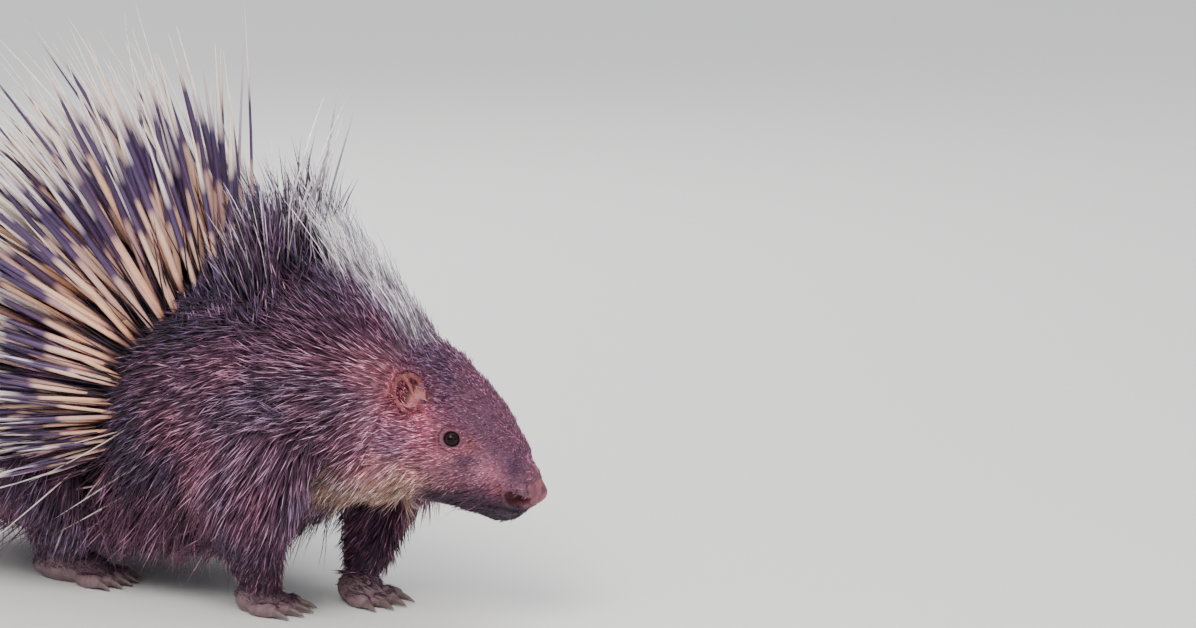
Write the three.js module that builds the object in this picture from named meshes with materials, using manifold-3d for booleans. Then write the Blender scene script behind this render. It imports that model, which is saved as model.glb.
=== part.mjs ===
// A Malayan porcupine that walks with lowered head and raised quills, life size, in millimetres.
// +X runs forwards along the trunk, +Y to the animal's left and +Z up. The feet stand on one floor.
import * as THREE from "three";
import { mergeVertices } from "three/addons/utils/BufferGeometryUtils.js";
import Module from "manifold-3d";

const wasm = await Module();
wasm.setup();

// Driving sizes
const gap = 0.3; // between pieces that touch
const neckTurn = THREE.MathUtils.degToRad(12); // the head looks a little to the left
const noseTip = new THREE.Vector3(267, 30, 97);
const fanFoot = new THREE.Vector3(60, 0, 130); // the back quills fan out from here
const clearOfFloor = 22; // no bristle of the flanks hangs lower

// Half widths of a strand along its length, each as a share of its widest
const needle = [[1, 0], [1, 0.45], [0, 1]];
const blade = [[0.7, 0], [1, 0.32], [0.62, 0.7], [0, 1]];
const club = [[0.45, 0], [0.45, 0.32], [1, 0.44], [1, 0.93], [0, 1]];

// The coat: how far apart each sort grows, how long, wide and thick it is, and how deep it roots
const backQuill = { shape: needle, pace: 22.9, long: 152, wide: 6.8, thick: 6.8, root: 9, sides: 3 };
const tallQuill = { shape: needle, pace: 45, long: 212, wide: 4.6, thick: 4.6, root: 9, sides: 3 };
const flankLock = { shape: blade, pace: 39, long: 70, wide: 29, thick: 8, root: 8, sides: 4 };
const neckLock = { shape: blade, pace: 30, long: 46, wide: 22, thick: 6.5, root: 7, sides: 4 };
const throatLock = { shape: blade, pace: 21, long: 26, wide: 18, thick: 6, root: 6, sides: 4 };
const crestLock = { shape: blade, pace: 14.5, wide: 12, thick: 4.5, root: 8, sides: 3 };
const tuftLock = { shape: blade, pace: 17, long: 88, wide: 12, thick: 4.5, root: 8, sides: 3 };
const rattleQuill = { shape: club, pace: 15, long: 52, wide: 6, thick: 6, root: 7, sides: 3 };
const strandGap = 2 * gap; // a strand's flat sides lie inside its corners
const lifts = [0, 0.2, 0.4]; // how far a strand may be turned up to clear a neighbour
const mostCut = 0.06; // the share of a strand that a neighbour may still cut away

// Each body part is a sphere drawn out along a centre line, with half sizes at even stations,
// from its back end forwards, or from a leg's top downwards.
const trunk = {
  centre: [
    [-222, 0, 120], [-165, 0, 138], [-90, 0, 147], [-15, 0, 149],
    [60, 0, 146], [112, 0, 139], [154, 0, 130],
  ],
  wide: [70, 88, 96, 97, 88, 78, 66],
  high: [66, 86, 92, 89, 88, 84, 70],
  low: [66, 88, 94, 96, 94, 84, 66],
  side: [0, 1, 0],
  blunt: 0.6,
};
const neck = {
  centre: [[62, 0, 150], [104, 1, 152], [146, 4, 145], [192, 13, 134]],
  wide: [70, 64, 56, 44],
  high: [84, 85, 70, 52],
  low: [70, 70, 62, 48],
  side: [0, 1, 0],
  blunt: 0.5,
};
const tail = {
  centre: [[-284, 0, 90], [-262, 0, 98], [-228, 0, 112], [-196, 0, 122]],
  wide: [14, 20, 26, 30],
  high: [12, 18, 24, 28],
  low: [12, 18, 24, 28],
  side: [0, 1, 0],
  blunt: 0.6,
};
// The head's own frame starts at the nose tip, +X forwards and +Z up.
const head = {
  centre: [
    [-124, 0, 40], [-98, 0, 38], [-76, 0, 30], [-56, 0, 20],
    [-36, 0, 9], [-17, 0, 2], [-1, 0, -2],
  ],
  wide: [56, 52, 44, 38, 31, 25, 20],
  high: [66, 68, 55, 46, 38, 31, 20],
  low: [66, 62, 46, 39, 34, 31, 20],
  side: [0, 1, 0],
  blunt: 0.62,
  egg: 0.2,
};
const headPose = new THREE.Matrix4().makeRotationZ(neckTurn).setPosition(noseTip);

const legs = {
  front_leg_right: {
    centre: [[106, -44, 150], [96, -62, 108], [88, -60, 66], [84, -44, 16]],
    wide: [30, 26, 21, 16], deep: [46, 40, 30, 21],
    foot: { heel: [63, -44], toes: [104, -38], half: 16, digits: 4, claw: 12 },
  },
  front_leg_left: {
    centre: [[120, 44, 148], [118, 60, 108], [112, 52, 68], [118, 24, 16]],
    wide: [30, 26, 21, 16], deep: [46, 40, 30, 21],
    foot: { heel: [103, 22], toes: [143, 16], half: 16, digits: 4, claw: 12 },
  },
  hind_leg_right: {
    centre: [[-118, -50, 140], [-98, -78, 100], [-78, -76, 62], [-104, -56, 16]],
    wide: [38, 30, 24, 16], deep: [62, 54, 36, 20],
    foot: { heel: [-118, -54], toes: [-46, -48], half: 17, digits: 5, claw: 10 },
  },
  hind_leg_left: {
    centre: [[-140, 50, 138], [-130, 78, 98], [-126, 76, 60], [-170, 56, 16]],
    wide: [38, 30, 24, 16], deep: [62, 54, 36, 20],
    foot: { heel: [-190, 54], toes: [-118, 48], half: 17, digits: 5, claw: 10 },
  },
};
const ankleHeight = 27;
const eye = { back: 51, up: 35, radius: 6.4, sunk: 3.4, lid: 1.5 };
const ear = { back: 79, up: 63, fore: 10, thick: 8, tall: 15, wall: 2.4, out: 7 };
const nostril = { back: 13, up: -5, long: 7.5, high: 2.2, deep: 4, rise: 0.3 };
const nosePad = { centre: [-8.5, 0, -3], size: [8.5, 15, 12] };
const lip = { centre: [-25, 9.5, -11], size: [13, 11, 10] };
const chin = { centre: [-29, 0, -13], size: [18, 15, 13] };
const toe = { radius: 5.6, length: 17, spread: 0.16 };
const claw = { root: 3.1, droop: 2.6, sides: 5 };

// Values between even stations, on a smooth curve.
function between(values, f) {
  const last = values.length - 1;
  const place = Math.min(Math.max(f, 0), 1) * last;
  const k = Math.min(Math.floor(place), last - 1);
  const u = place - k;
  const [a, b, c, d] = [k - 1, k, k + 1, k + 2].map((i) => values[Math.min(Math.max(i, 0), last)]);
  return b + 0.5 * u * (c - a + u * (2 * a - 5 * b + 4 * c - d + u * (3 * (b - c) + d - a)));
}

function pointBetween(points, f) {
  return new THREE.Vector3(...[0, 1, 2].map((axis) => between(points.map((p) => p[axis]), f)));
}

// A point of a drawn body's surface: polar runs 0 to 1 from end to end,
// and angle is 0 at its side and a quarter turn at its top.
function surfacePoint(form, polar, angle, grow = 0) {
  const turn = Math.PI * polar;
  const f = (1 - Math.cos(turn)) / 2;
  const swell = polar > 0 && polar < 1 ? Math.sin(turn) ** form.blunt : 0;
  const small = 0.01;
  const centre = pointBetween(form.centre, f);
  const ahead = pointBetween(form.centre, Math.min(f + small, 1));
  const behind = pointBetween(form.centre, Math.max(f - small, 0));
  const forward = ahead.sub(behind).normalize();
  const side = new THREE.Vector3(...form.side);
  const over = forward.clone().cross(side).normalize();
  const rise = Math.sin(angle);
  const wide = between(form.wide, f) * (1 - (form.egg ?? 0) * rise) * swell + grow * swell;
  const high = between(rise > 0 ? form.high : form.low, f) * swell + grow * swell;
  return centre
    .addScaledVector(side, Math.cos(angle) * wide)
    .addScaledVector(over, rise * high)
    .addScaledVector(forward, -Math.cos(turn) * grow);
}

function surfaceNormal(form, polar, angle) {
  const small = 0.004;
  const here = surfacePoint(form, polar, angle);
  const along = surfacePoint(form, polar + small, angle).sub(here);
  const round = surfacePoint(form, polar, angle + small).sub(here);
  return along.cross(round).normalize().negate();
}

// A closed geometry as a solid, with shared vertices merged and faces outwards.
function solid(geometry) {
  const bare = new THREE.BufferGeometry();
  bare.setAttribute("position", geometry.getAttribute("position"));
  bare.setIndex(geometry.index);
  const merged = mergeVertices(bare, 1e-3);
  const corners = merged.index.array;
  const faces = [];
  for (let i = 0; i < corners.length; i += 3) {
    const [a, b, c] = corners.subarray(i, i + 3);
    if (a !== b && b !== c && c !== a) faces.push([a, b, c]);
  }
  const make = (list) =>
    new wasm.Manifold(
      new wasm.Mesh({
        numProp: 3,
        vertProperties: new Float32Array(merged.attributes.position.array),
        triVerts: new Uint32Array(list.flat()),
      }),
    );
  const made = make(faces);
  return made.volume() < 0 ? make(faces.map(([a, b, c]) => [a, c, b])) : made;
}

function drawn(form, around, along, grow = 0) {
  const sphere = new THREE.SphereGeometry(1, around, along);
  const place = sphere.attributes.position;
  for (let i = 0; i < place.count; i++) {
    const ring = Math.floor(i / (around + 1));
    const column = (i % (around + 1)) % around;
    place.setXYZ(i, ...surfacePoint(form, ring / along, (2 * Math.PI * column) / around, grow));
  }
  return solid(sphere);
}

function moved(geometry, matrix) {
  return solid(geometry.applyMatrix4(matrix));
}

function ellipsoid(centre, radii, turn = [0, 0, 0], around = 12, along = 8) {
  const shape = new THREE.SphereGeometry(1, around, along).scale(...radii);
  shape.rotateX(turn[0]).rotateY(turn[1]).rotateZ(turn[2]);
  return solid(shape.translate(...centre));
}

function transformed(part, matrix) {
  return part.transform(matrix.elements);
}

const join = (parts) => wasm.Manifold.union(parts);
const up = new THREE.Vector3(0, 0, 1);
const turnTo = (from, way) => new THREE.Quaternion().setFromUnitVectors(from, way.clone().normalize());
const farAway = 900;

// The half space on the side of a plane that its normal points to, as a large box.
function halfSpace(point, normal) {
  const box = new THREE.BoxGeometry(farAway, farAway, farAway).translate(0, 0, farAway / 2);
  return solid(box.applyQuaternion(turnTo(up, normal)).translate(...point));
}

// One quill or lock: a lathed spike, flattened where its sort is,
// that grows the given way and bends back down.
function strand({ sort, place, way, out, long, bend }, grow = 0) {
  const shape = sort.shape.map(([r, h]) => new THREE.Vector2(r + 1, h * long));
  const deep = -sort.root - grow;
  shape[0].y = deep;
  const profile = [new THREE.Vector2(0, deep), ...shape, new THREE.Vector2(0, long + grow)];
  const lathe = new THREE.LatheGeometry(profile, sort.sides);
  const at = lathe.attributes.position;
  for (let i = 0; i < at.count; i++) {
    const [x, h, z] = [at.getX(i), at.getY(i), at.getZ(i)];
    const r = Math.max(Math.hypot(x, z), 1e-9);
    const share = Math.max(r - 1, 0) / 2;
    const droop = bend * long * (Math.max(h, 0) / long) ** 2;
    at.setXYZ(i, (x / r) * (share * sort.wide + grow), h, (z / r) * (share * sort.thick + grow) - droop);
  }
  const across = way.clone().cross(out).normalize();
  const frame = new THREE.Matrix4().makeBasis(across, way, across.clone().cross(way));
  return moved(lathe, frame.setPosition(place));
}

// The way a strand grows: along the lie of the coat, lifted off the skin by an angle.
function growth({ p, n }, lie, lift) {
  const along = lie.clone().addScaledVector(n, -lie.dot(n)).normalize();
  const way = along.multiplyScalar(Math.cos(lift)).addScaledVector(n, Math.sin(lift));
  return { place: p, way, out: n.clone().addScaledVector(way, -n.dot(way)).normalize() };
}

// The same draws for the same seed each time, from 0 to 1.
function seeded(seed) {
  let state = seed;
  return () => {
    state = (state + 0x6d2b79f5) | 0;
    let t = Math.imul(state ^ (state >>> 15), 1 | state);
    t = (t + Math.imul(t ^ (t >>> 7), 61 | t)) ^ t;
    return ((t ^ (t >>> 14)) >>> 0) / 2 ** 32;
  };
}

// Places on a drawn body at even distances, in rows that are half a step on from one another.
function sow(form, pace, draw) {
  const places = [];
  const length = pointBetween(form.centre, 0).distanceTo(pointBetween(form.centre, 1));
  const rows = Math.round(length / pace);
  for (let row = 0; row < rows; row++) {
    const f = (row + 0.5) / rows;
    const polar = Math.acos(1 - 2 * f) / Math.PI;
    const swell = Math.sin(Math.PI * polar) ** form.blunt;
    const tall = (between(form.high, f) + between(form.low, f)) / 2;
    const girth = Math.PI * swell * (between(form.wide, f) + tall);
    const count = Math.max(3, Math.round(girth / pace));
    for (let k = 0; k < count; k++) {
      const angle = (2 * Math.PI * (k + (row % 2) / 2 + 0.3 * (draw() - 0.5))) / count;
      const shift = polar + (0.3 * (draw() - 0.5)) / rows;
      const p = surfacePoint(form, shift, angle);
      places.push({ p, n: surfaceNormal(form, shift, angle), vary: draw(), stray: draw() - 0.5 });
    }
  }
  return places;
}

// How far out a point lies in the cross-section of a body drawn along X, where 1 is its surface.
function depthIn(form, p) {
  let [back, front] = [0, 1];
  for (let step = 0; step < 16; step++) {
    const f = (back + front) / 2;
    if (pointBetween(form.centre, f).x < p.x) back = f;
    else front = f;
  }
  const swell = Math.max(2 * Math.sqrt(back * (1 - back)), 1e-6) ** form.blunt;
  const centre = pointBetween(form.centre, back);
  const rise = p.z - centre.z;
  const high = between(rise > 0 ? form.high : form.low, back);
  return Math.hypot((p.y - centre.y) / between(form.wide, back), rise / high) / swell;
}

// The strands of a sort, each turned up until it is clear of the neighbours, or else left out.
function rooted(sort, places, neighbours, seat) {
  return places.flatMap((spot) => {
    const tries = lifts.map((lift) => ({ sort, ...seat(spot, lift) }));
    const fits = (one) => {
      const solidOne = strand(one);
      return solidOne.intersect(neighbours).volume() < mostCut * solidOne.volume();
    };
    return tries.filter(fits).slice(0, 1);
  });
}

const strands = (list, grow = 0) => list.map((one) => strand(one, grow));

// The largest closed surface of a solid, with nothing sealed inside it.
function largest(part) {
  return part.decompose().reduce((best, piece) => (piece.volume() > best.volume() ? piece : best));
}

// Head: the muzzle, cheeks and crown, with eye sockets, nostrils and the line of the mouth
const napeInHead = new THREE.Vector3(-97, 0, 40);
const napeNormal = new THREE.Vector3(1, 0, -0.2).normalize();
const headFlesh = (grow) => drawn(head, 28, 22, grow);

// The spot of the head's side at a distance behind and above the nose tip, with its normal.
function headSpot(back, above, side) {
  let best = null;
  for (let polar = 0.02; polar < 0.98; polar += 0.01) {
    for (let angle = -1.5; angle < 1.5; angle += 0.02) {
      const p = surfacePoint(head, polar, angle);
      const miss = Math.hypot(p.x + back, p.z - above);
      if (!best || miss < best.miss) best = { miss, p, n: surfaceNormal(head, polar, angle) };
    }
  }
  return { p: best.p.clone().setY(best.p.y * side), n: best.n.clone().setY(best.n.y * side) };
}

const sides = { right: -1, left: 1 };
const eyePlace = (side) => {
  const { p, n } = headSpot(eye.back, eye.up, side);
  return { centre: p.addScaledVector(n, -eye.sunk), n };
};

const eyeball = (side, grow) => {
  const r = eye.radius + grow;
  return ellipsoid(eyePlace(side).centre, [r, r, r], [0, 0, 0], 12, 8);
};

function nostrilSlit(side) {
  const { p, n } = headSpot(nostril.back, nostril.up, side);
  const along = new THREE.Vector3(-1, 0, nostril.rise).normalize();
  const over = n.clone().cross(along).normalize();
  const slit = new THREE.SphereGeometry(1, 10, 6).scale(nostril.long, nostril.high, nostril.deep);
  return moved(slit, new THREE.Matrix4().makeBasis(along, over, along.clone().cross(over)).setPosition(p));
}

function lidRing(side) {
  const { centre, n } = eyePlace(side);
  const reach = Math.sqrt(eye.radius ** 2 - (eye.radius - 3) ** 2);
  const ring = new THREE.TorusGeometry(reach + eye.lid, eye.lid, 5, 14).applyQuaternion(turnTo(up, n));
  const at = centre.clone().addScaledVector(n, eye.radius - 3);
  return solid(ring.translate(...at));
}

// The jaw is what lies under the line of the mouth, from the chin back to the corner of the lips.
function jawBlock(grow) {
  const outline = new THREE.Shape();
  outline.moveTo(-13 + grow, -40);
  outline.lineTo(-13 + grow, -12 + grow);
  outline.quadraticCurveTo(-26, -9 + grow, -42, -4 + grow);
  outline.quadraticCurveTo(-52 - grow, -4, -58 - grow, -40);
  const width = 80;
  const block = new THREE.ExtrudeGeometry(outline, { depth: width, bevelEnabled: false, curveSegments: 6 });
  return solid(block.rotateX(Math.PI / 2).translate(0, width / 2, 0));
}

function headSolid() {
  const features = Object.values(sides).flatMap((side) => [eyeball(side, gap), nostrilSlit(side)]);
  const lids = Object.values(sides).map(lidRing);
  const lips = Object.values(sides).map((side) => {
    const [back, across, down] = lip.centre;
    return ellipsoid([back, side * across, down], lip.size, [0, 0, 0], 14, 10);
  });
  const pad = ellipsoid(nosePad.centre, nosePad.size, [0, 0, 0], 16, 10);
  const whole = join([headFlesh(0), ...lids, ...lips, pad]).subtract(join(features));
  return largest(whole.subtract(jawBlock(gap)).subtract(halfSpace(napeInHead, napeNormal.clone().negate())));
}

const jawSolid = () => {
  const flesh = join([headFlesh(0), ellipsoid(chin.centre, chin.size, [0, 0, 0], 12, 10)]);
  return largest(flesh.intersect(jawBlock(0)));
};

const earTilt = (side) => [side * 0.25, -0.35, side * 0.55];
function earOuter(side, grow) {
  const { p, n } = headSpot(ear.back, ear.up, side);
  const centre = p.clone().addScaledVector(n, ear.out);
  const radii = [ear.fore + grow, ear.thick + grow, ear.tall + grow];
  return { centre, body: ellipsoid(centre, radii, earTilt(side), 12, 8) };
}

function earSolid(side) {
  const { centre, body } = earOuter(side, 0);
  const open = centre.clone().add(new THREE.Vector3(3, side * 6, 1));
  const radii = [ear.fore - ear.wall, ear.thick, ear.tall - ear.wall];
  return largest(body.subtract(ellipsoid(open, radii, earTilt(side), 10, 6)).subtract(headFlesh(gap)));
}

// Trunk, neck and tail
const trunkFlesh = (grow) => drawn(trunk, 22, 16, grow);
const napePoint = napeInHead.clone().applyMatrix4(headPose);
const napeWay = napeNormal.clone().applyAxisAngle(new THREE.Vector3(0, 0, 1), neckTurn);

// Where the long quills grow: behind this line on the flanks, and on the whole of the back
const quillEdge = (z) => 0.4 * z - 56 + 0.25 * Math.max(z - 185, 0);
const quillFloor = 100;
const quilled = (p) => p.z > quillFloor && p.x < quillEdge(p.z);
const ramp = THREE.MathUtils.smoothstep;

// The quills nearest the shoulders lean back and spread less to the sides.
function quillWay({ p, n, vary, stray }, lift) {
  const front = ramp(p.x, -70, 50);
  const way = p.clone().sub(fanFoot).normalize().addScaledVector(n, 0.15 + lift);
  way.y *= 1 - 0.45 * front;
  return way.add(new THREE.Vector3(0.28 * stray - 0.3 * front, 0.14 * (vary - 0.5), 0)).normalize();
}

// The share of their full length that quills reach at a place: least low down and at both ends
function quillReach(p) {
  const low = 0.56 + 0.44 * ramp(p.z, 100, 190);
  return low * (1 - 0.42 * ramp(p.x, 20, 75)) * (1 - 0.38 * ramp(-p.x, 150, 215));
}

function quillSeat(spot, lift) {
  const long = backQuill.long * (0.25 + 0.75 * quillReach(spot.p)) * (0.76 + 0.28 * spot.vary);
  return { place: spot.p, way: quillWay(spot, lift), out: spot.n, long, bend: 0.04 };
}

function tallSeat(spot, lift) {
  const long = tallQuill.long * quillReach(spot.p) * (0.84 + 0.16 * spot.vary);
  return { place: spot.p, way: quillWay(spot, lift), out: spot.n, long, bend: 0.07 };
}

function lockSeat(sort, spot, lie, lift) {
  const { place, way, out } = growth(spot, lie, lift);
  const room = way.z < 0 ? (place.z - clearOfFloor) / -way.z : sort.long;
  return { place, way, out, long: Math.min(sort.long * (0.8 + 0.4 * spot.vary), room), bend: 0.14 };
}

const flankSeat = (spot, lift) => {
  const hang = Math.max(-spot.n.z, 0);
  const lie = new THREE.Vector3(-0.8 + 0.3 * hang, 0, -0.5 - 0.5 * hang);
  return lockSeat(flankLock, spot, lie, 0.28 + 0.4 * hang + lift);
};
const neckSeat = (spot, lift) => lockSeat(neckLock, spot, new THREE.Vector3(-0.9, 0, -0.35), 0.3 + lift);
const throatSeat = (spot, lift) => lockSeat(throatLock, spot, new THREE.Vector3(-0.7, 0, -0.7), 0.5 + lift);

// The crest is swept back along the nape, and its tips end on one line that falls towards the crown.
const crestLine = [[78, 304], [98, 290], [127, 263], [160, 236], [196, 196]];
const crestLean = THREE.MathUtils.degToRad(62);
const crestSteps = 12; // enough for a strand's tip to settle on the line

function crestTop(x) {
  const next = Math.max(crestLine.findIndex(([at]) => at > x), 1);
  const [[x0, z0], [x1, z1]] = crestLine.slice(next - 1, next + 1);
  return THREE.MathUtils.mapLinear(THREE.MathUtils.clamp(x, x0, x1), x0, x1, z0, z1);
}

function crestSeat({ p, n, stray }, lift) {
  const lean = crestLean + 0.2 * stray + 0.3 * lift;
  const way = new THREE.Vector3(-Math.cos(lean), 0.3 * n.y, Math.sin(lean)).normalize();
  let long = 10;
  for (let i = 0; i < crestSteps; i++) {
    const tip = p.clone().addScaledVector(way, long);
    long = THREE.MathUtils.clamp(long + 0.8 * (crestTop(tip.x) - tip.z), 12, 100);
  }
  return { place: p, way, out: new THREE.Vector3(0, n.y < 0 ? -1 : 1, 0), long, bend: 0 };
}

// Taller tufts stand between the crest and the quills, highest over the shoulders.
function tuftSeat({ p, n, vary, stray }, lift) {
  const high = Math.exp(-(((p.x - 85) / 22) ** 2));
  const way = new THREE.Vector3(-0.28 + 0.0022 * (p.x - 60) + 0.3 * stray - 0.2 * lift, 0.35 * n.y, 1);
  const long = tuftLock.long * (0.4 + 0.6 * high) * (0.75 + 0.35 * vary);
  return { place: p, way: way.normalize(), out: new THREE.Vector3(0, n.y < 0 ? -1 : 1, 0), long, bend: 0 };
}

function rattleSeat({ p, n, vary }, lift) {
  const way = n.clone().add(new THREE.Vector3(-1.6 + lift, 0, -0.5)).normalize();
  return { place: p, way, out: n, long: rattleQuill.long * (0.8 + 0.3 * vary), bend: 0 };
}

const tailRoot = halfSpace(new THREE.Vector3(-212, 0, 110), new THREE.Vector3(1, 0, 0.2));
const tailBody = (grow) => drawn(tail, 14, 10, grow).subtract(tailRoot);
const rattleStart = -246;

function neckFlesh(grow) {
  const back = transformed(headFlesh(grow), headPose);
  const front = halfSpace(napePoint.clone().addScaledVector(napeWay, grow - gap), napeWay);
  const behind = halfSpace(new THREE.Vector3(40, 0, 150), new THREE.Vector3(-1, 0, 0));
  return join([drawn(neck, 22, 12, grow), back]).subtract(join([front, behind]));
}

// Legs, feet and claws
const legForm = (leg) => ({ ...leg, high: leg.deep, low: leg.deep, side: [0, 1, 0], blunt: 0.35 });
const legBody = (leg, grow) => drawn(legForm(leg), 12, 9, grow);
const legBodies = (grow) => Object.values(legs).map((leg) => legBody(leg, grow));
const ground = halfSpace(new THREE.Vector3(0, 0, 0), new THREE.Vector3(0, 0, -1));

function legSolid(leg) {
  const below = halfSpace(new THREE.Vector3(0, 0, ankleHeight + gap), new THREE.Vector3(0, 0, -1));
  return largest(legBody(leg, 0).subtract(below));
}

function toeWays({ heel, toes, half, digits }) {
  const way = new THREE.Vector3(toes[0] - heel[0], toes[1] - heel[1], 0).normalize();
  const across = new THREE.Vector3(0, 0, 1).cross(way);
  return Array.from({ length: digits }, (_, i) => {
    const share = (i - (digits - 1) / 2) / ((digits - 1) / 2);
    const root = new THREE.Vector3(toes[0], toes[1], toe.radius - 1)
      .addScaledVector(across, share * (half - 3))
      .addScaledVector(way, -16 - 5 * share * share);
    return { root, way: way.clone().addScaledVector(across, share * toe.spread).normalize() };
  });
}

function footSolid(leg) {
  const { heel, toes, half } = leg.foot;
  const long = Math.hypot(toes[0] - heel[0], toes[1] - heel[1]);
  const turn = Math.atan2(toes[1] - heel[1], toes[0] - heel[0]);
  const middle = [(heel[0] + toes[0]) / 2 - 5, (heel[1] + toes[1]) / 2, 9];
  const pad = ellipsoid(middle, [long / 2 - 2, half, 15], [0, 0, turn], 12, 8);
  const fingers = toeWays(leg.foot).map(({ root, way }) => {
    const finger = new THREE.CapsuleGeometry(toe.radius, toe.length, 1, 6).translate(0, toe.length / 2, 0);
    finger.applyQuaternion(turnTo(new THREE.Vector3(0, 1, 0), way));
    const end = root.clone().addScaledVector(way, toe.length + 2);
    return solid(finger.translate(...root)).subtract(halfSpace(end, way));
  });
  const above = halfSpace(new THREE.Vector3(0, 0, ankleHeight), new THREE.Vector3(0, 0, 1));
  const shank = legBody(leg, 0);
  return largest(join([pad, shank, ...fingers]).subtract(above).subtract(ground));
}

function clawSolid(leg, index) {
  const { root, way } = toeWays(leg.foot)[index];
  const long = leg.foot.claw;
  const cone = new THREE.ConeGeometry(claw.root, long, claw.sides, 2).translate(0, long / 2, 0);
  const place = cone.attributes.position;
  for (let i = 0; i < place.count; i++) {
    place.setZ(i, place.getZ(i) - claw.droop * (place.getY(i) / long) ** 2);
  }
  const turn = Math.atan2(way.y, way.x) - Math.PI / 2;
  cone.rotateZ(turn);
  const at = root.clone().addScaledVector(way, toe.length + 2 + gap);
  return solid(cone.translate(...at));
}

// The coat is sown from the head backwards, and each part's strands keep clear of the parts before it.
const legsGrown = join(legBodies(gap));
const earsGrown = join(Object.values(sides).map((side) => transformed(earOuter(side, gap).body, headPose)));
const aheadOfNeck = halfSpace(napePoint.clone().addScaledVector(napeWay, -gap), napeWay);
const besideNeck = join([trunkFlesh(gap), legsGrown, earsGrown, aheadOfNeck]);

const behindHead = ({ p }) => p.clone().sub(napePoint).dot(napeWay) < -6 && depthIn(trunk, p) > 1.01;
const isCrest = ({ p, n }) => n.z > 0.84 && p.x > 92;
const isTuft = ({ p, n }) => !quilled(p) && n.z > 0.76 && p.x > 20 && p.x < 112;
const isThroat = ({ n }) => n.z < -0.4;
const neckSpots = (pace, seed) => sow(neck, pace, seeded(seed)).filter(behindHead);
const neckCoat = [
  ...rooted(crestLock, neckSpots(crestLock.pace, 3).filter(isCrest), besideNeck, crestSeat),
  ...rooted(tuftLock, neckSpots(tuftLock.pace, 21).filter(isTuft), besideNeck, tuftSeat),
  ...rooted(throatLock, neckSpots(throatLock.pace, 4).filter(isThroat), besideNeck, throatSeat),
  ...rooted(
    neckLock,
    neckSpots(neckLock.pace, 5).filter((spot) => !isCrest(spot) && !isTuft(spot) && !isThroat(spot)),
    besideNeck,
    neckSeat,
  ),
];
const neckSolid = largest(join([neckFlesh(0), ...strands(neckCoat)]).subtract(besideNeck));

const rattle = rooted(
  rattleQuill,
  sow(tail, rattleQuill.pace, seeded(6)).filter(({ p }) => p.x < rattleStart),
  ground,
  rattleSeat,
);
const tailSolid = largest(join([tailBody(0), ...strands(rattle)]));

const besideTorso = join([
  tailBody(gap),
  legsGrown,
  neckFlesh(gap).subtract(trunkFlesh(0)),
  ...strands([...rattle, ...neckCoat], strandGap),
]);
const clearOfNeck = ({ p }) => depthIn(neck, p) > 1.02 || p.x < neck.centre[0][0];
const quillSpots = sow(trunk, backQuill.pace, seeded(7)).filter(({ p }) => quilled(p));
const tallSpots = sow(trunk, tallQuill.pace, seeded(15)).filter(({ p }) => quilled(p));
const lockSpots = sow(trunk, flankLock.pace, seeded(8)).filter(
  (spot) => !quilled(spot.p) && !isTuft(spot) && clearOfNeck(spot),
);
const tuftSpots = sow(trunk, tuftLock.pace, seeded(9)).filter((spot) => isTuft(spot) && clearOfNeck(spot));
const torsoCoat = [
  ...rooted(backQuill, quillSpots, besideTorso, quillSeat),
  ...rooted(tallQuill, tallSpots, besideTorso, tallSeat),
  ...rooted(tuftLock, tuftSpots, besideTorso, tuftSeat),
  ...rooted(flankLock, lockSpots, besideTorso, flankSeat),
];
const torsoFlesh = trunkFlesh(0).subtract(join([tailBody(gap), legsGrown]));
const torsoSolid = largest(join([torsoFlesh, join(strands(torsoCoat)).subtract(besideTorso)]));

// Materials and the scene graph
const finishes = {
  quills: { color: 0xc7b09a, roughness: 0.5, metalness: 0 },
  coat: { color: 0x4a3a40, roughness: 0.85, metalness: 0 },
  face: { color: 0x8a6668, roughness: 0.75, metalness: 0 },
  bareSkin: { color: 0xb07a74, roughness: 0.6, metalness: 0 },
  eye: { color: 0x140d10, roughness: 0.12, metalness: 0 },
  claw: { color: 0x8d7f74, roughness: 0.45, metalness: 0 },
};
const materials = Object.fromEntries(
  Object.entries(finishes).map(([name, look]) => [name, new THREE.MeshStandardMaterial({ name, ...look })]),
);

const porcupine = new THREE.Group();

function add(name, part, material) {
  const { vertProperties, triVerts } = part.getMesh();
  const geometry = new THREE.BufferGeometry();
  geometry.setAttribute("position", new THREE.BufferAttribute(vertProperties, 3));
  geometry.setIndex(new THREE.BufferAttribute(triVerts, 1));
  const mesh = new THREE.Mesh(geometry, materials[material]);
  mesh.name = name;
  porcupine.add(mesh);
}

add("torso", torsoSolid, "quills");
add("neck", neckSolid, "coat");
add("tail", tailSolid, "quills");
add("head", transformed(headSolid(), headPose), "face");
add("jaw", transformed(jawSolid(), headPose), "face");
for (const [name, side] of Object.entries(sides)) {
  add(`ear_${name}`, transformed(earSolid(side), headPose), "bareSkin");
  add(`eye_${name}`, transformed(eyeball(side, 0), headPose), "eye");
}
for (const [name, leg] of Object.entries(legs)) {
  add(name, legSolid(leg), "coat");
  const foot = name.replace("leg", "foot");
  add(foot, footSolid(leg), "bareSkin");
  for (let i = 0; i < leg.foot.digits; i++) add(`${foot}_claw_${i + 1}`, clawSolid(leg, i), "claw");
}

// The origin is on the floor, under the middle of the whole outline.
const outline = new THREE.Box3().setFromObject(porcupine);
const middle = outline.getCenter(new THREE.Vector3());
porcupine.position.set(-middle.x, -middle.y, -outline.min.z);

export default porcupine;
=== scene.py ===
# A Malayan porcupine as a still, life-size museum model, walking with lowered head and raised quills.
import math
import bmesh
import bpy
import numpy as np
from mathutils import Euler, Matrix, Vector
from mathutils.bvhtree import BVHTree
from mathutils.kdtree import KDTree


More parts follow.
